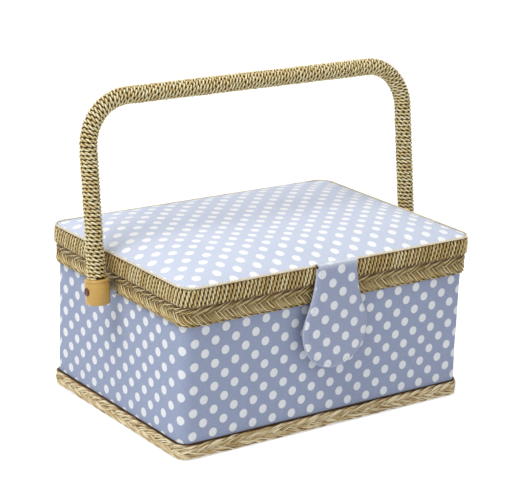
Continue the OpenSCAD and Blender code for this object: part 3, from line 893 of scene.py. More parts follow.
@dataclass(frozen=True)
class Plait:
    """A flat plait of strands of straws that runs round an outline.

    The strands cross at the middle level and turn back at the low and the high one. Every second
    straw lies deeper and is painted darker as shade.
    """

    name: str
    path: Outline
    low: float
    middle: float
    high: float
    period: float
    depth: float
    strands: int
    straws: int
    spacing: float
    radius: float
    seed: int
    samples: int = 20
    stray: float = 0.4
    # Strength of the painted shade on the straws' inner sides.
    side_shade: float = 1.5
    fleck: float = 0.3
    # Painted shadow of the lid over the plait's upper half.
    shade: float = 0.0
    squeeze: float = 0.55
    sunk: float = 0.35
    # Painted shade on every second, sunk straw.
    sunk_shade: float = 0.5

    def build(self) -> Piece:
        """Build the plait."""
        bank = CordBank(self.name, self.radius, side_shade=self.side_shade)
        whole = self.path.length()
        turns = round(whole / self.period)
        count = turns * self.samples
        frames = [self.path.at(whole * k / count) for k in range(count)]
        outs = [out for _, out in frames]
        reach = (self.straws - 1) / 2 * self.spacing * self.squeeze + self.radius
        rise, fall = self.high - reach - self.middle, self.middle - self.low - reach
        for strand in range(self.strands):
            for straw in range(self.straws):
                index = strand * self.straws + straw
                sunk = self.sunk * (index % 2)
                across = (straw - (self.straws - 1) / 2) * self.spacing
                line, painted_shade, tones = [], [], []
                for k, (point, out) in enumerate(frames):
                    angle = 2 * math.pi * (k / self.samples + strand / self.strands)
                    swing = math.sin(angle)
                    size = rise if swing > 0 else fall
                    slope = size * math.cos(angle) * 2 * math.pi * turns / whole
                    wide = self.squeeze + (1 - self.squeeze) * abs(math.cos(angle))
                    off = across * wide / math.hypot(1, slope)
                    wobble = self.stray * noise.noise(Vector((k * 0.31, index * 7.3, self.seed)))
                    lift = self.depth * math.sin(2 * angle)
                    level = max(self.middle + size * swing + off + wobble, self.radius + 0.1)
                    line.append(point + UP * level + out.cross(UP) * (off * slope)
                                + out * (lift - sunk + wobble * 0.5))
                    # Painted shade: darker where a straw dips under the others and on every second,
                    # sunk straw, plus a painted shadow of the lid over the upper half.
                    painted_shade.append(0.4 - 0.6 * lift / self.depth + self.sunk_shade * (index % 2)
                                + self.shade * max(swing, 0.0))
                    tones.append(0.15 + 0.7 * tone_of(index, self.seed)
                                 + self.fleck * noise.noise(Vector((k / 5, index * 3.1, 1.5))))
                bank.add(line, tones, painted_shade, True, outs)
        return bank.build()


@dataclass(frozen=True)
class Winding:
    """Two-ply cord wound over the rim of the lid."""

    outline: Outline
    pitch: float = 4.1
    ply: float = 0.9
    apart: float = 0.88
    proud: float = 0.5
    lay: float = 8.4
    lean: float = 4.2
    steps: int = 12
    profile: tuple[Flat, ...] = (
        (3.7, 135.3), (2.5, 134.95), (1.75, 135.9), (1.55, 138.0), (1.5, 142.0), (1.55, 146.0),
        (1.75, 148.6), (2.5, 149.35), (3.7, 149.1))
    SPAN: tuple[float, float] = (134.9, 149.4)

    def section(self) -> list[Flat]:
        """Return evenly spaced places, inset and level, over the rim."""
        corners = np.array(self.profile)
        walked = np.concatenate([[0], np.cumsum(np.linalg.norm(np.diff(corners, axis=0), axis=1))])
        places = np.linspace(0, walked[-1], self.steps + 1)
        return list(zip(*(np.interp(places, walked, corners[:, k]) for k in (0, 1))))

    def build(self) -> Piece:
        """Build the winding."""
        bank = CordBank("lid_rim_cord", self.ply, side_shade=1.5)
        whole = self.outline.length()
        turns = round(whole / self.pitch)
        section = self.section()
        for turn in range(turns):
            start = whole * turn / turns
            tone, slip = tone_of(turn, 3), 2.4 * tone_of(turn, 31)
            for ply in (0, 1):
                line, painted_shade, outs = [], [], []
                walked = 0.0
                for k, (inset, level) in enumerate(section):
                    if k:
                        walked += math.dist(section[k - 1], section[k])
                    share = (level - self.SPAN[0]) / (self.SPAN[1] - self.SPAN[0])
                    point, out = self.outline.at(start + self.lean * (share - 0.5))
                    angle = 2 * math.pi * (walked / self.lay) + math.pi * ply + 0.9 * turn + slip
                    side = UP.cross(out)
                    line.append(point - out * inset + UP * level
                                + side * (self.apart * math.cos(angle))
                                + out * (self.proud * math.sin(angle)))
                    # Painted shade: darker where a ply dips under the other and where the cord
                    # turns in under the rim.
                    ends = max(0.0, (inset - 2.4) / 4.0)
                    painted_shade.append(0.3 - 0.5 * math.sin(angle) + ends)
                    outs.append(out)
                bank.add(line, min(1.0, max(0.0, tone + 0.16 * (ply - 0.5))), painted_shade, False, outs)
        return bank.build()


def shade_band(name: str, outline: Outline, low: float, high: float, thick: float) -> Piece:
    """Build a closed band of painted shade under straw work, with the attributes the straw finish
    reads.

    Args:
        name: the piece's name.
        outline: its outer outline.
        low: its lower level.
        high: its upper level.
        thick: its thickness.

    Returns:
        The object, in metres.
    """
    mesh = rounded_slab(outline, low)
    bmesh.ops.inset_region(mesh, faces=mesh.faces[:], thickness=thick, use_even_offset=True,
                           use_boundary=True)
    inner = max(mesh.faces, key=lambda f: f.calc_area() if len(f.verts) > 4 else 0)
    bmesh.ops.delete(mesh, geom=[inner], context="FACES")
    made = bmesh.ops.extrude_face_region(mesh, geom=mesh.faces[:])["geom"]
    bmesh.ops.translate(mesh, vec=(0, 0, high - low), verts=only(made, Point))
    bmesh.ops.recalc_face_normals(mesh, faces=mesh.faces)
    piece = to_piece(name, mesh)
    points = read(piece.data.vertices, "co", 3)
    # Full painted shade over the whole band.
    full = np.ones(len(points))
    for key, values in (("tone", 0.8 * full), ("painted_shade", full), ("around", 60 * points[:, 2]),
                        ("along", points[:, 0] + points[:, 1])):
        write(piece.data, key, values)
    return piece


def rounded_slab(outline: Outline, level: float, steps: int = 8) -> Shape:
    """Return a bmesh with one level face in the shape of an outline."""
    mesh = bmesh.new()
    bmesh.ops.create_grid(mesh, x_segments=1, y_segments=1, size=1.0)
    bmesh.ops.scale(mesh, vec=(outline.half_x, outline.half_y, 1), verts=mesh.verts)
    bmesh.ops.bevel(mesh, geom=mesh.verts[:], offset=outline.radius, affect="VERTICES",
                    segments=steps, profile=0.5, material=-1)
    bmesh.ops.translate(mesh, vec=(0, 0, level), verts=mesh.verts)
    return mesh


def cylinder(radius: float, depth: float, segments: int) -> Shape:
    """Return a bmesh cylinder along Z about the origin."""
    mesh = bmesh.new()
    bmesh.ops.create_cone(mesh, cap_ends=True, segments=segments, radius1=radius, radius2=radius,
                          depth=depth)
    return mesh


def ring(outline: Outline, level: float, steps: int, cuts: int) -> Shape:
    """Return a bmesh with a closed line of edges in the shape of an outline.

    Args:
        outline: its shape.
        level: its level.
        steps: edges in each round corner.
        cuts: cuts in each straight side.

    Returns:
        The bmesh, without faces.
    """
    mesh = rounded_slab(outline, level, steps)
    sides = [e for e in mesh.edges if e.calc_length() > 50]
    bmesh.ops.subdivide_edges(mesh, edges=sides, cuts=cuts)
    bmesh.ops.delete(mesh, geom=mesh.faces[:], context="FACES_ONLY")
    return mesh


# Sub-assemblies


@dataclass
class Carcass:
    """The box: fabric walls, lining, floor pad and both braids."""

    finishes: Finishes
    outer: Outline = Outline(150.0, 105.0, 8.8)
    foot: float = 0.8
    top: float = 133.0
    lining_foot: float = 5.4
    COLUMNS: tuple[Flat, ...] = ((-38.3, -4.0), (-28.1, -3.0), (-17.1, -2.0), (-3.7, -1.0),
                                 (7.81, 0.0))

    def build(self) -> None:
        """Build and dress the box's pieces."""
        self.cover()
        self.lining()
        pad = Pad("floor_cushion", Outline(143.6, 98.6, 4.0), 7.1, 5.3, 2.2, 9.0, (60, 42),
                  dimple=0.35)
        fit(pad.build(Puff(3.0, 1.6)), Body.BOX, self.finishes["lining"],
            ["floor_pad"])
        self.braids()

    def wall_uv(self, point: Vector, middle: Vector) -> Flat:
        """Place the print, which runs from the back left corner round the left, front and right."""
        whole, turn = self.outer.length(), QUARTER * self.outer.radius
        corner = self.outer.half_x - self.outer.radius + turn / 2
        seam = whole - corner - turn / 2 - 2 * (self.outer.half_y - self.outer.radius)
        centre = self.walk(middle)
        centre -= whole if centre > seam else 0.0
        walked = self.walk(point)
        walked += whole * round((centre - walked) / whole)
        s = walked + corner
        marks = [(s_at + side, u_at + side / HALF_PITCH)
                 for s_at, u_at in self.COLUMNS for side in (-4.3, 4.3)]
        if s >= marks[-1][0]:
            u = (s - self.COLUMNS[-1][0]) / HALF_PITCH
        elif s <= marks[0][0]:
            u = self.COLUMNS[0][1] + (s - self.COLUMNS[0][0]) / HALF_PITCH
        else:
            u = float(np.interp(s, [m[0] for m in marks], [m[1] for m in marks]))
        shift = float(np.interp(u, [-2.6, -2.4, -1.6, -1.4, -0.6, -0.4],
                                [0.26, 0.3, 0.3, 0.38, 0.38, 0.0]))
        return u, (point.z - 81.0) / HALF_PITCH - shift

    def walk(self, point: Vector) -> float:
        """Return how far along the outline a point lies, from the middle of the front."""
        a, b, r = self.outer.half_x, self.outer.half_y, self.outer.radius
        cx = min(max(point.x, -(a - r)), a - r)
        cy = min(max(point.y, -(b - r)), b - r)
        dx, dy = point.x - cx, point.y - cy
        turn, side_x, side_y = QUARTER * r, 2 * (a - r), 2 * (b - r)
        if abs(dx) < 1e-6 and dy < 0:
            return cx if cx >= 0 else cx + self.outer.length()
        if abs(dx) < 1e-6:
            return side_x / 2 + 2 * turn + side_y + (a - r - cx)
        if abs(dy) < 1e-6 and dx > 0:
            return side_x / 2 + turn + (cy + b - r)
        if abs(dy) < 1e-6:
            return side_x * 1.5 + 3 * turn + side_y + (b - r - cy)
        share = math.atan2(abs(dy), abs(dx)) / QUARTER * turn
        if dx > 0 and dy < 0:
            return side_x / 2 + turn - share
        if dx > 0:
            return side_x / 2 + turn + side_y + share
        if dy > 0:
            return side_x * 1.5 + 2 * turn + side_y + turn - share
        return side_x * 1.5 + 3 * turn + 2 * side_y + share

    def cover(self) -> None:
        """Build the dotted cloth round the walls."""
        mesh = ring(self.outer, self.foot, 10, 79)
        rim, height, rows = mesh.edges[:], self.top - self.foot, 12
        for _ in range(rows):
            rim, verts = raise_rim(mesh, rim)
            bmesh.ops.translate(mesh, vec=(0, 0, height / rows), verts=verts)
        lay_uv(mesh, self.wall_uv)
        self.turn_out(mesh)
        for vert in mesh.verts:
            hold = math.sin(math.pi * (vert.co.z - self.foot) / height)
            wave = 0.45 * noise.noise(vert.co / 31) + 0.2 * noise.noise(vert.co / 12)
            out = Vector((vert.co.x / self.outer.half_x, vert.co.y / self.outer.half_y, 0))
            out = Vector((round(out.x * 0.9), round(out.y * 0.9), 0))
            if out.length:
                vert.co += out.normalized() * (wave - 0.25) * hold
        piece = to_piece("wall_cover", mesh)
        self.outer.length() * MM
        fit(piece, Body.BOX, self.finishes["wall"], ["outer_cover"])

    @staticmethod
    def turn_out(mesh: Shape) -> None:
        """Make an open wall's faces point away from the middle."""
        wrong = [f for f in mesh.faces if f.normal.xy.dot(f.calc_center_median().xy) < 0]
        bmesh.ops.reverse_faces(mesh, faces=wrong)

    def lining(self) -> None:
        """Build the cloth inside the walls, which folds over their top edge."""
        inner, low, last = Outline(144.5, 99.5, 3.5), self.lining_foot, 132.7
        straight = (inner.half_x - inner.radius, inner.half_y - inner.radius)
        mesh = ring(inner, low, 4, 35)
        rim = mesh.edges[:]
        rows = [(low + (last - low) * k / 9, 0.0) for k in range(1, 10)]
        for level, grow in rows + [(133.15, 0.4), (133.3, 2.4), (133.3, 4.9)]:
            rim, verts = raise_rim(mesh, rim)
            for vert in verts:
                near = [min(max(vert.co[k], -straight[k]), straight[k]) for k in (0, 1)]
                out = Vector((vert.co.x - near[0], vert.co.y - near[1], 0)).normalized()
                flat = Vector((*near, 0)) + out * (inner.radius + grow)
                fold = 0.35 * noise.noise(Vector((vert.co.x / 16, vert.co.y / 16, level / 60)))
                hold = 0.0 if level > 132 else math.sin(math.pi * (level - low) / (self.top - low))
                vert.co = flat - out * (0.3 + fold) * hold + UP * level
        lay_uv(mesh, lambda p, m: ((p.y if abs(m.x) > 144.0 else p.x) / HALF_PITCH,
                                   p.z / HALF_PITCH))
        for face in mesh.faces:
            middle = face.calc_center_median()
            inward = face.normal.z if abs(face.normal.z) > 0.7 else -face.normal.xy.dot(middle.xy)
            if inward < 0:
                face.normal_flip()
        piece = to_piece("wall_lining_cloth", mesh)
        inner.length() * MM
        fit(piece, Body.BOX, self.finishes["lining"], ["wall_lining"])

    def braids(self) -> None:
        """Build the braid under the lid, the one round the base, and dark bands of painted shade
        under them.
        """
        rim = Plait("rim_straw_braid", Outline(152.05, 107.05, 10.85), 116.6, 127.4, 133.7, 40.0,
                    0.9, 7, 3, 1.5, 0.62, 1, shade=0.45, squeeze=0.95, stray=0.7, fleck=0.5)
        base = Plait("base_straw_braid", Outline(151.9, 106.9, 10.7), 0.9, 6.4, 13.3, 64.0, 0.5, 5,
                     4, 1.4, 0.7, 2, stray=1.6, fleck=1.2, sunk=0.15, sunk_shade=0.25, side_shade=0.9,
                     squeeze=0.6)
        fit(rim.build(), Body.BOX, self.finishes["braid"], ["rim_braid"])
        fit(base.build(), Body.BOX, self.finishes["base"], ["base_braid"])
        # Dark bands under the braids, painted shade that shows through their gaps.
        for name, low, high in (("rim_braid_shade", 117.2, 131.6),
                                ("base_braid_shade", 1.6, 14.2)):
            ground = shade_band(name, Outline(150.9, 105.9, 9.7), low, high, 0.75)
            fit(ground, Body.BOX, self.finishes["shade"])


@dataclass
class Lid:
    """The lid: corded rim, piping, cushion and padded inside panel."""

    finishes: Finishes
    rim: Outline = Outline(156.0, 111.0, 16.0)
    seam: Outline = Outline(153.9, 108.9, 13.9)
    print_at: Flat = (-2.2, -4.1)
    flap_x: float = -3.0
    gap: float = 17.6
    cord: float = 0.62
    apart: float = 0.56
    lay: float = 6.4
    level: float = 150.95

    def build(self) -> None:
        """Build and dress the lid's pieces."""
        fit(Winding(self.rim).build(), Body.LID, self.finishes["rim"], ["lid_winding"])
        # A dark band under the winding, painted shade that shows through its gaps.
        ground = shade_band("rim_cord_shade", self.seam, 134.6, 148.9, 0.7)
        fit(ground, Body.LID, self.finishes["shade"])
        self.piping()
        cushion = Pad("lid_cushion", Outline(152.5, 107.5, 12.5), 151.0, 148.05, 12.0, 18.0,
                      (84, 60), (4.0, 1.0))
        piece = cushion.build(Puff(4.0, 1.2))
        self.shift_print(piece)
        fit(piece, Body.LID, self.finishes["lid"], ["lid_cover", "lid_foam"])
        inside = Pad("lid_inside_panel", Outline(148.4, 103.4, 8.6), 143.6, 142.1, 1.3, 6.0,
                     (60, 42), turned=True)
        piece = inside.build(Puff(3.0, 0.8))
        self.lift(piece)
        fit(piece, Body.LID, self.finishes["lining"], ["lid_lining"])

    @staticmethod
    def lift(piece: Piece) -> None:
        """Set the inside panel against the board above it."""
        top = max(v.co.z for v in piece.data.vertices)
        piece.data.transform(Matrix.Translation((0, 0, 144.95 * MM - top)))

    def shift_print(self, piece: Piece) -> None:
        """Move the printed dots to their place on the lid."""
        layer = piece.data.uv_layers["UVMap"].data
        values = read(layer, "uv", 2) - np.array(self.print_at, np.float32) / HALF_PITCH
        layer.foreach_set("uv", values.ravel())

    def piping(self) -> None:
        """Build the pale two-ply cord along the rim, open where the flap crosses it."""
        bank = CordBank("lid_piping_cord", self.cord)
        start, length = self.flap_x + self.gap, self.seam.length() - 2 * self.gap
        count, turns = round(length / 1.3), length / self.lay
        for ply in (0, 1):
            line, painted_shade = [], []
            for k in range(count + 1):
                point, out = self.seam.at(start + length * k / count)
                angle = 2 * math.pi * turns * k / count + math.pi * ply
                line.append(point + UP * self.level + out * (self.apart * math.cos(angle))
                            + UP * (self.apart * math.sin(angle)))
                # Painted shade where a ply dips under the other.
                painted_shade.append(0.4 - 0.4 * math.cos(angle))
            bank.add(line, 0.25 + 0.12 * ply, painted_shade)
        fit(bank.build(), Body.LID, self.finishes["piping"], ["lid_piping"])


@dataclass
class Flap:
    """The front flap: dotted cloth over the fold, a back cloth, a sewn edge and top stitching."""

    finishes: Finishes
    x: float = -3.0
    fold_y: float = -112.9
    fold_z: float = 151.1
    lean: float = 1.5
    neck: float = 21.0
    lobe: float = 34.0
    centre: float = -58.0
    side: float = 110.0
    radius: float = 2.0
    straight: float = 0.42

    def width(self, z: float) -> float:
        """Return the half width at a level below the fold."""
        mid = self.neck + self.side
        drop = math.sqrt((self.lobe + self.side) ** 2 - mid ** 2)
        if z > self.tangent():
            return mid - math.sqrt(self.side ** 2 - (min(z, 0.0) - self.centre - drop) ** 2)
        return math.sqrt(max(self.lobe ** 2 - (z - self.centre) ** 2, 0.0))

    def spread(self) -> float:
        """Return the angle at which the sides meet the round end."""
        mid = self.neck + self.side
        return math.acos(mid / (self.lobe + self.side))

    def tangent(self) -> float:
        """Return the level at which the sides meet the round end."""
        return self.centre + self.lobe * math.sin(self.spread())

    def level(self, share: float) -> float:
        """Return the level of a row, from 0 at the fold to 1 at the end."""
        if share < self.straight:
            return self.tangent() * share / self.straight
        along = (share - self.straight) / (1 - self.straight)
        angle = self.spread() - (self.spread() + QUARTER) * along
        return self.centre + self.lobe * math.sin(angle)

    def matrix(self) -> Matrix:
        """Return the flap's place: leaned out about its fold line."""
        place = Matrix.Translation((self.x, self.fold_y, self.fold_z))
        return place @ Matrix.Rotation(math.radians(-self.lean), 4, "X")

    def edge_gap(self, x: float, z: float) -> float:
        """Return the distance of a point from the flap's edge."""
        if z > self.tangent():
            return max(self.width(z) - abs(x), 0.0)
        return max(self.lobe - math.hypot(x, z - self.centre), 0.0)

    def print_uv(self, x: float, z: float) -> Flat:
        """Place the print, which is cut a little askew."""
        turn = math.radians(6.0)
        world_x, world_z = x + self.x, z + self.fold_z
        return ((world_x * math.cos(turn) + world_z * math.sin(turn)) / HALF_PITCH - 0.55,
                (world_z * math.cos(turn) - world_x * math.sin(turn)) / HALF_PITCH - 1.3)

    def build(self) -> None:
        """Build and dress the flap's pieces."""
        self.front()
        self.back()
        self.edge()
        self.stitches()

    @staticmethod
    def panel(rows: int) -> Shape:
        """Return a grid whose X and Y run from -1 to 1 over the panel."""
        mesh = bmesh.new()
        bmesh.ops.create_grid(mesh, x_segments=22, y_segments=rows, size=1.0)
        return mesh

    @staticmethod
    def crowd(share: float) -> float:
        """Move columns towards the sides."""
        return math.copysign(1 - (1 - abs(share)) ** 1.6, share)

    def over_fold(self, x: float, turn: float) -> tuple[Vector, Flat]:
        """Place a point of the front cloth between the lid and the flap.

        Args:
            x: its distance from the flap's middle.
            turn: 0 on the lid, 0.5 where the bend starts and 1 at its end.

        Returns:
            The point, and its place on the cloth laid flat.
        """
        if turn < 0.5:
            away = (0.5 - turn) * 2
            spot = Vector((x, away * 5.2, self.radius - away * away * 1.2))
            return spot, (x, away * 5.4 + self.radius * QUARTER)
        angle = QUARTER * (turn - 0.5) * 2
        spot = Vector((x, -self.radius * math.sin(angle), self.radius * math.cos(angle)))
        return spot, (x, self.radius * (QUARTER - angle))

    def below_fold(self, x: float, z: float) -> tuple[Vector, Flat]:
        """Place a point of the front cloth on the flap, with its soft edge.

        Args:
            x: its distance from the flap's middle.
            z: its level from the fold.

        Returns:
            The point, and its place on the cloth laid flat.
        """
        gap = self.edge_gap(x, z)
        bulge = 1.9 * (1 - math.exp(-gap / 0.8)) + 0.35 * (1 - math.exp(-gap / 7))
        blend = min(1.0, -z / 5.0)
        ripple = 0.25 * noise.noise(Vector((x / 9, z / 9, 3.0))) * min(1.0, gap / 6)
        y = -(self.radius * (1 - blend) + (0.25 + bulge + ripple) * blend)
        return Vector((x, y, z)), (x, z)

    def front(self) -> None:
        """Build the front cloth, which runs from the lid over the fold and down the flap."""
        rows, over = 52, 10
        mesh = self.panel(rows)
        flat: dict[tuple[float, ...], Flat] = {}
        for vert in mesh.verts:
            row = round((1 - vert.co.y) / 2 * rows)
            share = self.crowd(vert.co.x)
            if row < over:
                spot, flat_at = self.over_fold(share * self.neck, row / over)
            else:
                z = self.level((row - over) / (rows - over))
                spot, flat_at = self.below_fold(share * self.width(z), z)
            vert.co = spot
            flat[tuple(round(c, 4) for c in spot)] = flat_at
        bmesh.ops.remove_doubles(mesh, verts=mesh.verts, dist=0.02)
        lay_uv(mesh, lambda p, _: self.print_uv(
            *flat.get(tuple(round(c, 4) for c in p), (p.x, p.z))))
        wrong = [f for f in mesh.faces
                 if f.normal.y > 0.05 or (abs(f.normal.y) <= 0.05 and f.normal.z < 0)]
        bmesh.ops.reverse_faces(mesh, faces=wrong)
        bmesh.ops.transform(mesh, matrix=self.matrix(), verts=mesh.verts)
        piece = to_piece("flap_cloth", mesh)
        # Painted light: the cloth pales towards the top of the fold and on the lid, where it faces
        # up to the lamps.
        top_light = piece.data.attributes.new("lit_top", "FLOAT", "POINT")
        for vert, value in zip(piece.data.vertices, top_light.data):
            below = self.fold_z - vert.co.z / MM
            value.value = min(1.0, max(0.0, 1.0 - (below + 1.4) / 4.5))
        dress(piece, self.finishes["flap"], ["flap_front", "flap_anchor"])
        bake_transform(piece)

    def back(self) -> None:
        """Build the back cloth."""
        mesh = self.panel(40)
        for vert in mesh.verts:
            share = (1 - vert.co.y) / 2
            z = min(self.level(share), -1.75)
            x = self.crowd(vert.co.x) * self.width(z)
            gap = self.edge_gap(x, z)
            vert.co = (x, 0.3 + 1.25 * (1 - math.exp(-gap / 0.7)), z)
        bmesh.ops.remove_doubles(mesh, verts=mesh.verts, dist=0.02)
        lay_uv(mesh, lambda p, _: self.print_uv(p.x, p.z))
        bmesh.ops.reverse_faces(mesh, faces=[f for f in mesh.faces if f.normal.y < 0])
        bmesh.ops.transform(mesh, matrix=self.matrix(), verts=mesh.verts)
        piece = to_piece("flap_back_cloth", mesh)
        fit(piece, Body.FLAP, self.finishes["flap"], ["flap_back"])

    def border(self, inset: float, step: float) -> list[Vector]:
        """Return places along the sides and the round end, at an inset from the edge."""
        right, round_end = [], self.lobe - inset
        for share in np.linspace(0.02, 1.0, 140):
            z = self.level(float(share))
            if z > self.tangent():
                right.append((self.width(z) - inset, z))
            else:
                angle = math.asin(max(-1.0, min(1.0, (z - self.centre) / self.lobe)))
                right.append((round_end * math.cos(angle),
                              self.centre + round_end * math.sin(angle)))
        line = np.array(right + [(-x, z) for x, z in reversed(right[:-1])])
        walked = np.concatenate([[0], np.cumsum(np.linalg.norm(np.diff(line, axis=0), axis=1))])
        places = np.linspace(0, walked[-1], round(walked[-1] / step) + 1)
        return [Vector((x, 0, z))
                for x, z in zip(*(np.interp(places, walked, line[:, k]) for k in (0, 1)))]

    def edge(self) -> None:
        """Build the rolled edge between front and back."""
        bank = CordBank("flap_rolled_edge", 0.95, SIDES=8)
        line = [self.matrix() @ (p + Vector((0, -0.1, 0))) for p in self.border(0.45, 1.6)]
        bank.add(line, 0.4)
        piece = bank.build()
        self.edge_uv(piece)
        fit(piece, Body.FLAP, self.finishes["thread"])

    @staticmethod
    def edge_uv(piece: Piece) -> None:
        """Write a UV map from the strand attributes."""
        layer = piece.data.uv_layers.get("UVMap") or piece.data.uv_layers.new(name="UVMap")
        along, around = (read(piece.data.attributes[key].data, "value")
                         for key in ("along", "around"))
        index = read(piece.data.loops, "vertex_index", kind=np.int32)
        pairs = np.stack([along[index] / MM / HALF_PITCH, around[index] * 0.3], axis=1)
        layer.data.foreach_set("uv", pairs.ravel().astype(np.float32))

    def stitches(self) -> None:
        """Build the top stitching along the edge."""
        bank = CordBank("flap_stitches", 0.26)
        places = self.border(3.4, 1.0)
        for k in range(2, len(places) - 3, 3):
            middle = (places[k] + places[k + 1]) / 2
            ends = (places[k], middle, places[k + 1].lerp(places[k + 2], 0.25))
            line = [p + Vector((0, lift, 0)) for p, lift in zip(ends, (-2.2, -2.55, -2.2))]
            bank.add([self.matrix() @ p for p in line], 0.3)
        piece = bank.build()
        self.edge_uv(piece)
        fit(piece, Body.FLAP, self.finishes["thread"])


@dataclass
class Handle:
    """The carrying handle: a two-ply cord wound over the tube, and two end caps."""

    finishes: Finishes
    leg_x: float = 170.0
    top: float = 161.5
    bend: float = 40.0
    low: float = 10.0
    pivot: float = 122.0
    tilt: float = 8.0
    wrap: float = 8.25
    row: float = 3.45
    ply: float = 0.92
    apart: float = 0.84
    lays: float = 4.53
    steps: int = 36
    # Radius of the dark sleeve of painted shade under the cord.
    ground: float = 6.8
    cap_radius: float = 10.6
    cap_ends: Flat = (-12.0, 10.0)
    lip: tuple[float, float, float] = (6.6, 7.1, 7.6)

    def matrix(self) -> Matrix:
        """Return the handle's place: tilted back about its pivots."""
        tilted = Matrix.Rotation(math.radians(-self.tilt), 4, "X")
        return Matrix.Translation((0, 0, self.pivot)) @ tilted

    def length(self) -> float:
        """Return the length of the wound part."""
        leg, bar = self.top - self.bend - self.low, self.leg_x - self.bend
        return 2 * leg + math.pi * self.bend + 2 * bar

    def spot(self, walked: float) -> tuple[Vector, Vector]:
        """Find a place on the bow.

        Args:
            walked: distance from the left cap, up the left leg.

        Returns:
            The point on the tube's middle and the direction away from the bow's inside.
        """
        leg, turn = self.top - self.bend - self.low, QUARTER * self.bend
        bar, mirror = 2 * (self.leg_x - self.bend), 1.0
        if walked > leg + turn + bar / 2:
            walked, mirror = self.length() - walked, -1.0
        if walked < leg:
            return Vector((-self.leg_x * mirror, 0, self.low + walked)), Vector((-mirror, 0, 0))
        if walked < leg + turn:
            angle = (walked - leg) / self.bend
            out = Vector((-math.cos(angle) * mirror, 0, math.sin(angle)))
            centre = Vector((-(self.leg_x - self.bend) * mirror, 0, self.top - self.bend))
            return centre + out * self.bend, out
        return Vector(((walked - leg - turn - bar / 2) * mirror, 0, self.top)), UP

    def build(self) -> None:
        """Build and dress the handle's pieces."""
        self.winding()
        self.sleeve()
        for side in (-1, 1):
            self.cap(side)

    def winding(self) -> None:
        """Build the two-ply cord that is wound closely round the tube from cap to cap."""
        bank = CordBank("handle_cord", self.ply, side_shade=1.2)
        whole, front, place = self.length(), Vector((0, -1, 0)), self.matrix()
        count = round(whole / self.row) * self.steps
        radius = self.wrap - self.ply - self.apart
        for ply in (0, 1):
            line, painted_shade, outs, tones = [], [], [], []
            for k in range(count + 1):
                rounds = k / self.steps
                drift = 1.5 * noise.noise(Vector((rounds * 0.31, 2.0, 7.0)))
                twist = 2 * math.pi * (self.lays * rounds + drift) + math.pi * ply
                fray = 0.3 * noise.noise(Vector((k * 0.19, ply * 9.0, 4.0)))
                walked = whole * k / count - self.apart * math.cos(twist) + fray
                walked = min(max(walked, 0.9), whole - 0.9)
                centre, out = self.spot(walked)
                angle = math.radians(36.0) + 2 * math.pi * rounds
                away = front * math.cos(angle) + out * math.sin(angle)
                reach = radius + self.apart * math.sin(twist) + fray
                line.append(place @ (centre + away * reach))
                outs.append(place.to_3x3() @ away)
                # Painted shade where a ply dips under the other.
                painted_shade.append(0.4 - 0.7 * math.sin(twist))
                tones.append(0.05 + 0.8 * tone_of(int(twist / math.pi + 400.5), 5 + ply))
            bank.add(line, tones, painted_shade, False, outs)
        fit(bank.build(), Body.HANDLE, self.finishes["handle"], ["handle_wrap"])

    def sleeve(self) -> None:
        """Build the dark sleeve under the cord, painted shade that shows between its turns."""
        bank = CordBank("handle_ground", self.ground, SIDES=24)
        whole, place, count = self.length(), self.matrix(), 120
        stops = [min(max(whole * k / count, 0.3), whole - 0.3) for k in range(count + 1)]
        bank.add([place @ self.spot(s)[0] for s in stops], 0.7, [1.0] * len(stops))
        fit(bank.build(), Body.HANDLE, self.finishes["shade"])

    def cap(self, side: int) -> None:
        """Build an end cap: a moulded cup with a rounded end, a lip and holes for tube and screw.

        Args:
            side: -1 for the left cap, 1 for the right one.
        """
        low, high = self.cap_ends
        mesh = cylinder(self.cap_radius, high - low, 64)
        bmesh.ops.translate(mesh, vec=(0, 0, (high + low) / 2), verts=mesh.verts)
        ends = [e for e in mesh.edges if e.calc_face_angle(0.0) > 1.2]
        lower = [e for e in ends if e.verts[0].co.z < 0]
        upper = [e for e in ends if e.verts[0].co.z > 0]
        for rim, size, steps in ((lower, 2.2, 5), (upper, 0.9, 3)):
            bmesh.ops.bevel(mesh, geom=rim, offset=size, affect="EDGES", segments=steps,
                            profile=0.5, material=-1)
        for level in self.lip:
            bmesh.ops.bisect_plane(mesh, geom=mesh.verts[:] + mesh.edges[:] + mesh.faces[:],
                                   plane_co=(0, 0, level), plane_no=(0, 0, 1))
        for vert in mesh.verts:
            if abs(vert.co.z - self.lip[1]) < 0.01:
                vert.co.x *= 0.968
                vert.co.y *= 0.968
        cup = to_piece("left_cap" if side < 0 else "right_cap", mesh)
        for size, middle, depth, axis in (
                (6.3, (0, 0, 3.0), 22.0, "Z"), (2.3, (0, 0, 0), 40.0, "X"),
                (6.3, (-side * 14.6, 0, 0), 12.0, "X"), (3.75, (side * 15.75, 0, 0), 12.0, "X")):
            tool = cylinder(size, depth, 40)
            if axis == "X":
                bmesh.ops.rotate(tool, verts=tool.verts, matrix=Matrix.Rotation(QUARTER, 3, "Y"))
            bmesh.ops.translate(tool, vec=middle, verts=tool.verts)
            cutter = to_piece("cutter", tool)
            cut = cup.modifiers.new("cut", "BOOLEAN")
            cut.object, cut.operation, cut.solver = cutter, "DIFFERENCE", "EXACT"
            done = bpy.data.meshes.new_from_object(evaluated(cup))
            cup.modifiers.clear()
            cup.data = done
            bpy.data.objects.remove(cutter)
        sharpen(cup, 40.0)
        leg = Matrix.Translation((side * self.leg_x, 0, 0))
        cup.data.transform(Matrix.Scale(MM, 4) @ self.matrix() @ leg @ Matrix.Scale(1 / MM, 4))
        node = "left_end_cap" if side < 0 else "right_end_cap"
        fit(cup, Body.HANDLE, self.finishes["plastic"], [node])


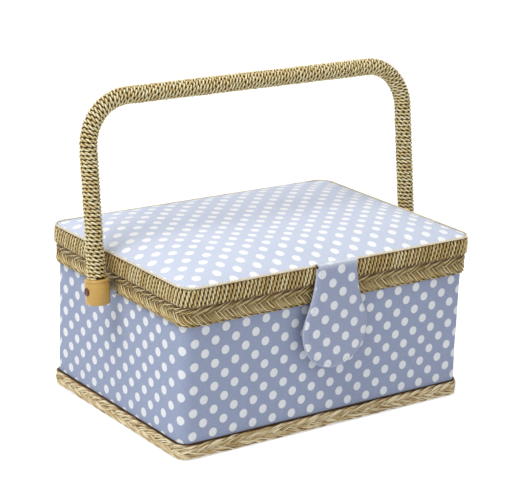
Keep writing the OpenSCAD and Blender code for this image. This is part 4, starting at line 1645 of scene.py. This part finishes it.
@dataclass
class Hardware:
    """The model's own boards, hinges, magnets, screws and tube, which keep their shapes."""

    finishes: Finishes
    table: dict[str, tuple[str, ...]] = field(default_factory=lambda: {
        "board": ("bottom_sheet", "base_board", *WALLS, "corner_posts", "lid_board", "lid_hoop",
                  "flap_stiffener"),
        "steel": ("body_magnet", "flap_magnet", "pivot_spacers", "pivot_washers", "pivot_nuts",
                  "hinge_pins", "handle_core"),
        "brass": ("hinge_body_leaves", "hinge_lid_leaves", "hinge_body_screws",
                  "hinge_lid_screws"),
        "screw": ("pivot_screws",),
    })

    def build(self) -> None:
        """Dress every node that stays."""
        for key, names in self.table.items():
            for name in names:
                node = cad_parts[name]
                node.data.materials.clear()
                node.data.materials.append(self.finishes[key])
                LOG.info("%s: %s", name, key)


@dataclass
class Studio:
    """Camera, lamps, floor and white surroundings."""

    place: tuple[float, float, float] = (-0.9503, -1.2940, 0.6334)
    look: tuple[float, float, float] = (0.5617, 0.7722, -0.2970)
    right: tuple[float, float, float] = (0.8087, -0.5882, 0.0)
    roll: float = 2.05
    lens: float = 133.78
    key_power: float = 36.0
    sky: float = 0.42

    def build(self) -> None:
        """Build the whole studio."""
        self.camera()
        self.lamps()
        self.floor()
        self.surroundings()
        bpy.context.scene.view_settings.view_transform = "Standard"

    def camera(self) -> None:
        """Place the camera at the photograph's view."""
        look, right = Vector(self.look).normalized(), Vector(self.right).normalized()
        up = right.cross(look)
        turn = math.radians(self.roll)
        side = right * math.cos(turn) + up * math.sin(turn)
        head = up * math.cos(turn) - right * math.sin(turn)
        lens = bpy.data.cameras.new("view")
        lens.lens, lens.sensor_width, lens.sensor_fit = self.lens, 36.0, "HORIZONTAL"
        lens.clip_start, lens.clip_end = 0.05, 20.0
        holder = link(bpy.data.objects.new("view", lens))
        axes = Matrix((side, head, -look)).transposed().to_4x4()
        holder.matrix_world = Matrix.Translation(self.place) @ axes
        bpy.context.scene.camera = holder

    def lamps(self) -> None:
        """Hang a wide soft lamp above and to the left, one overhead and a weak one in front."""
        for name, spot, size, power in (("key", (-1.2, -0.2, 2.1), 1.5, self.key_power),
                                        ("top", (0.1, 0.35, 2.4), 1.2, 7.0),
                                        ("fill", (0.9, -1.9, 1.1), 1.4, 3.6)):
            lamp = bpy.data.lights.new(name, "AREA")
            lamp.shape, lamp.size, lamp.energy = "DISK", size, power
            holder = link(bpy.data.objects.new(name, lamp))
            aim = Vector((0, 0, 0.12)) - Vector(spot)
            turned = aim.to_track_quat("-Z", "Y").to_matrix().to_4x4()
            holder.matrix_world = Matrix.Translation(spot) @ turned

    @staticmethod
    def seen(tree: Tree) -> Socket:
        """Return 1 for what the camera, gloss and clear material see."""
        path = tree.add("LightPath")
        names = ("Is Camera Ray", "Is Glossy Ray", "Is Transmission Ray")
        total = path.outputs[names[0]]
        for name in names[1:]:
            total = tree.sum("MAXIMUM", total, path.outputs[name])
        return total

    def floor(self) -> None:
        """Lay a wide pale floor that keeps the object's shadow."""
        mesh = bmesh.new()
        bmesh.ops.create_grid(mesh, x_segments=4, y_segments=4, size=4000.0)
        bmesh.ops.translate(mesh, vec=(0, 0, -0.2), verts=mesh.verts)
        plane = to_piece("floor", mesh, smooth=False)
        paint = Dressed("Pale floor", Roughness=0.9, Specular_IOR_Level=0.0)
        cloud = paint.noise(paint.add("TexCoord").outputs["Object"], 1.5, 2.0)
        paint.put(paint.shader.inputs["Base Color"],
                  paint.mix(cloud, srgb((238, 238, 238)), srgb((242, 242, 242))))
        paint.put(paint.shader.inputs["Emission Color"], (1.0, 1.0, 1.0, 1.0))
        glow = paint.sum("MULTIPLY", self.seen(paint), 0.6)
        paint.put(paint.shader.inputs["Emission Strength"], glow)
        plane.data.materials.append(paint.material)

    def surroundings(self) -> None:
        """Light the scene evenly and show white behind it."""
        world = bpy.data.worlds.new("surroundings")
        bpy.context.scene.world = world
        world.use_nodes = True
        tree = Tree(world.node_tree)
        back = world.node_tree.nodes["Background"]
        tree.put(back.inputs["Color"], (1.0, 1.0, 1.0, 1.0))
        strength = tree.add("Mix", {"data_type": "FLOAT"})
        for index, value in ((0, self.seen(tree)), (2, self.sky), (3, 1.0)):
            tree.put(strength.inputs[index], value)
        tree.put(back.inputs["Strength"], strength.outputs[0])


def main() -> None:
    """Build every sub-assembly in order."""
    logging.basicConfig(level=logging.INFO, format="%(name)s: %(message)s")
    Studio().build()
    finishes = Finishes()
    Hardware(finishes).build()
    Carcass(finishes).build()
    Lid(finishes).build()
    Flap(finishes).build()
    Handle(finishes).build()


if __name__ == "__main__":
    main()
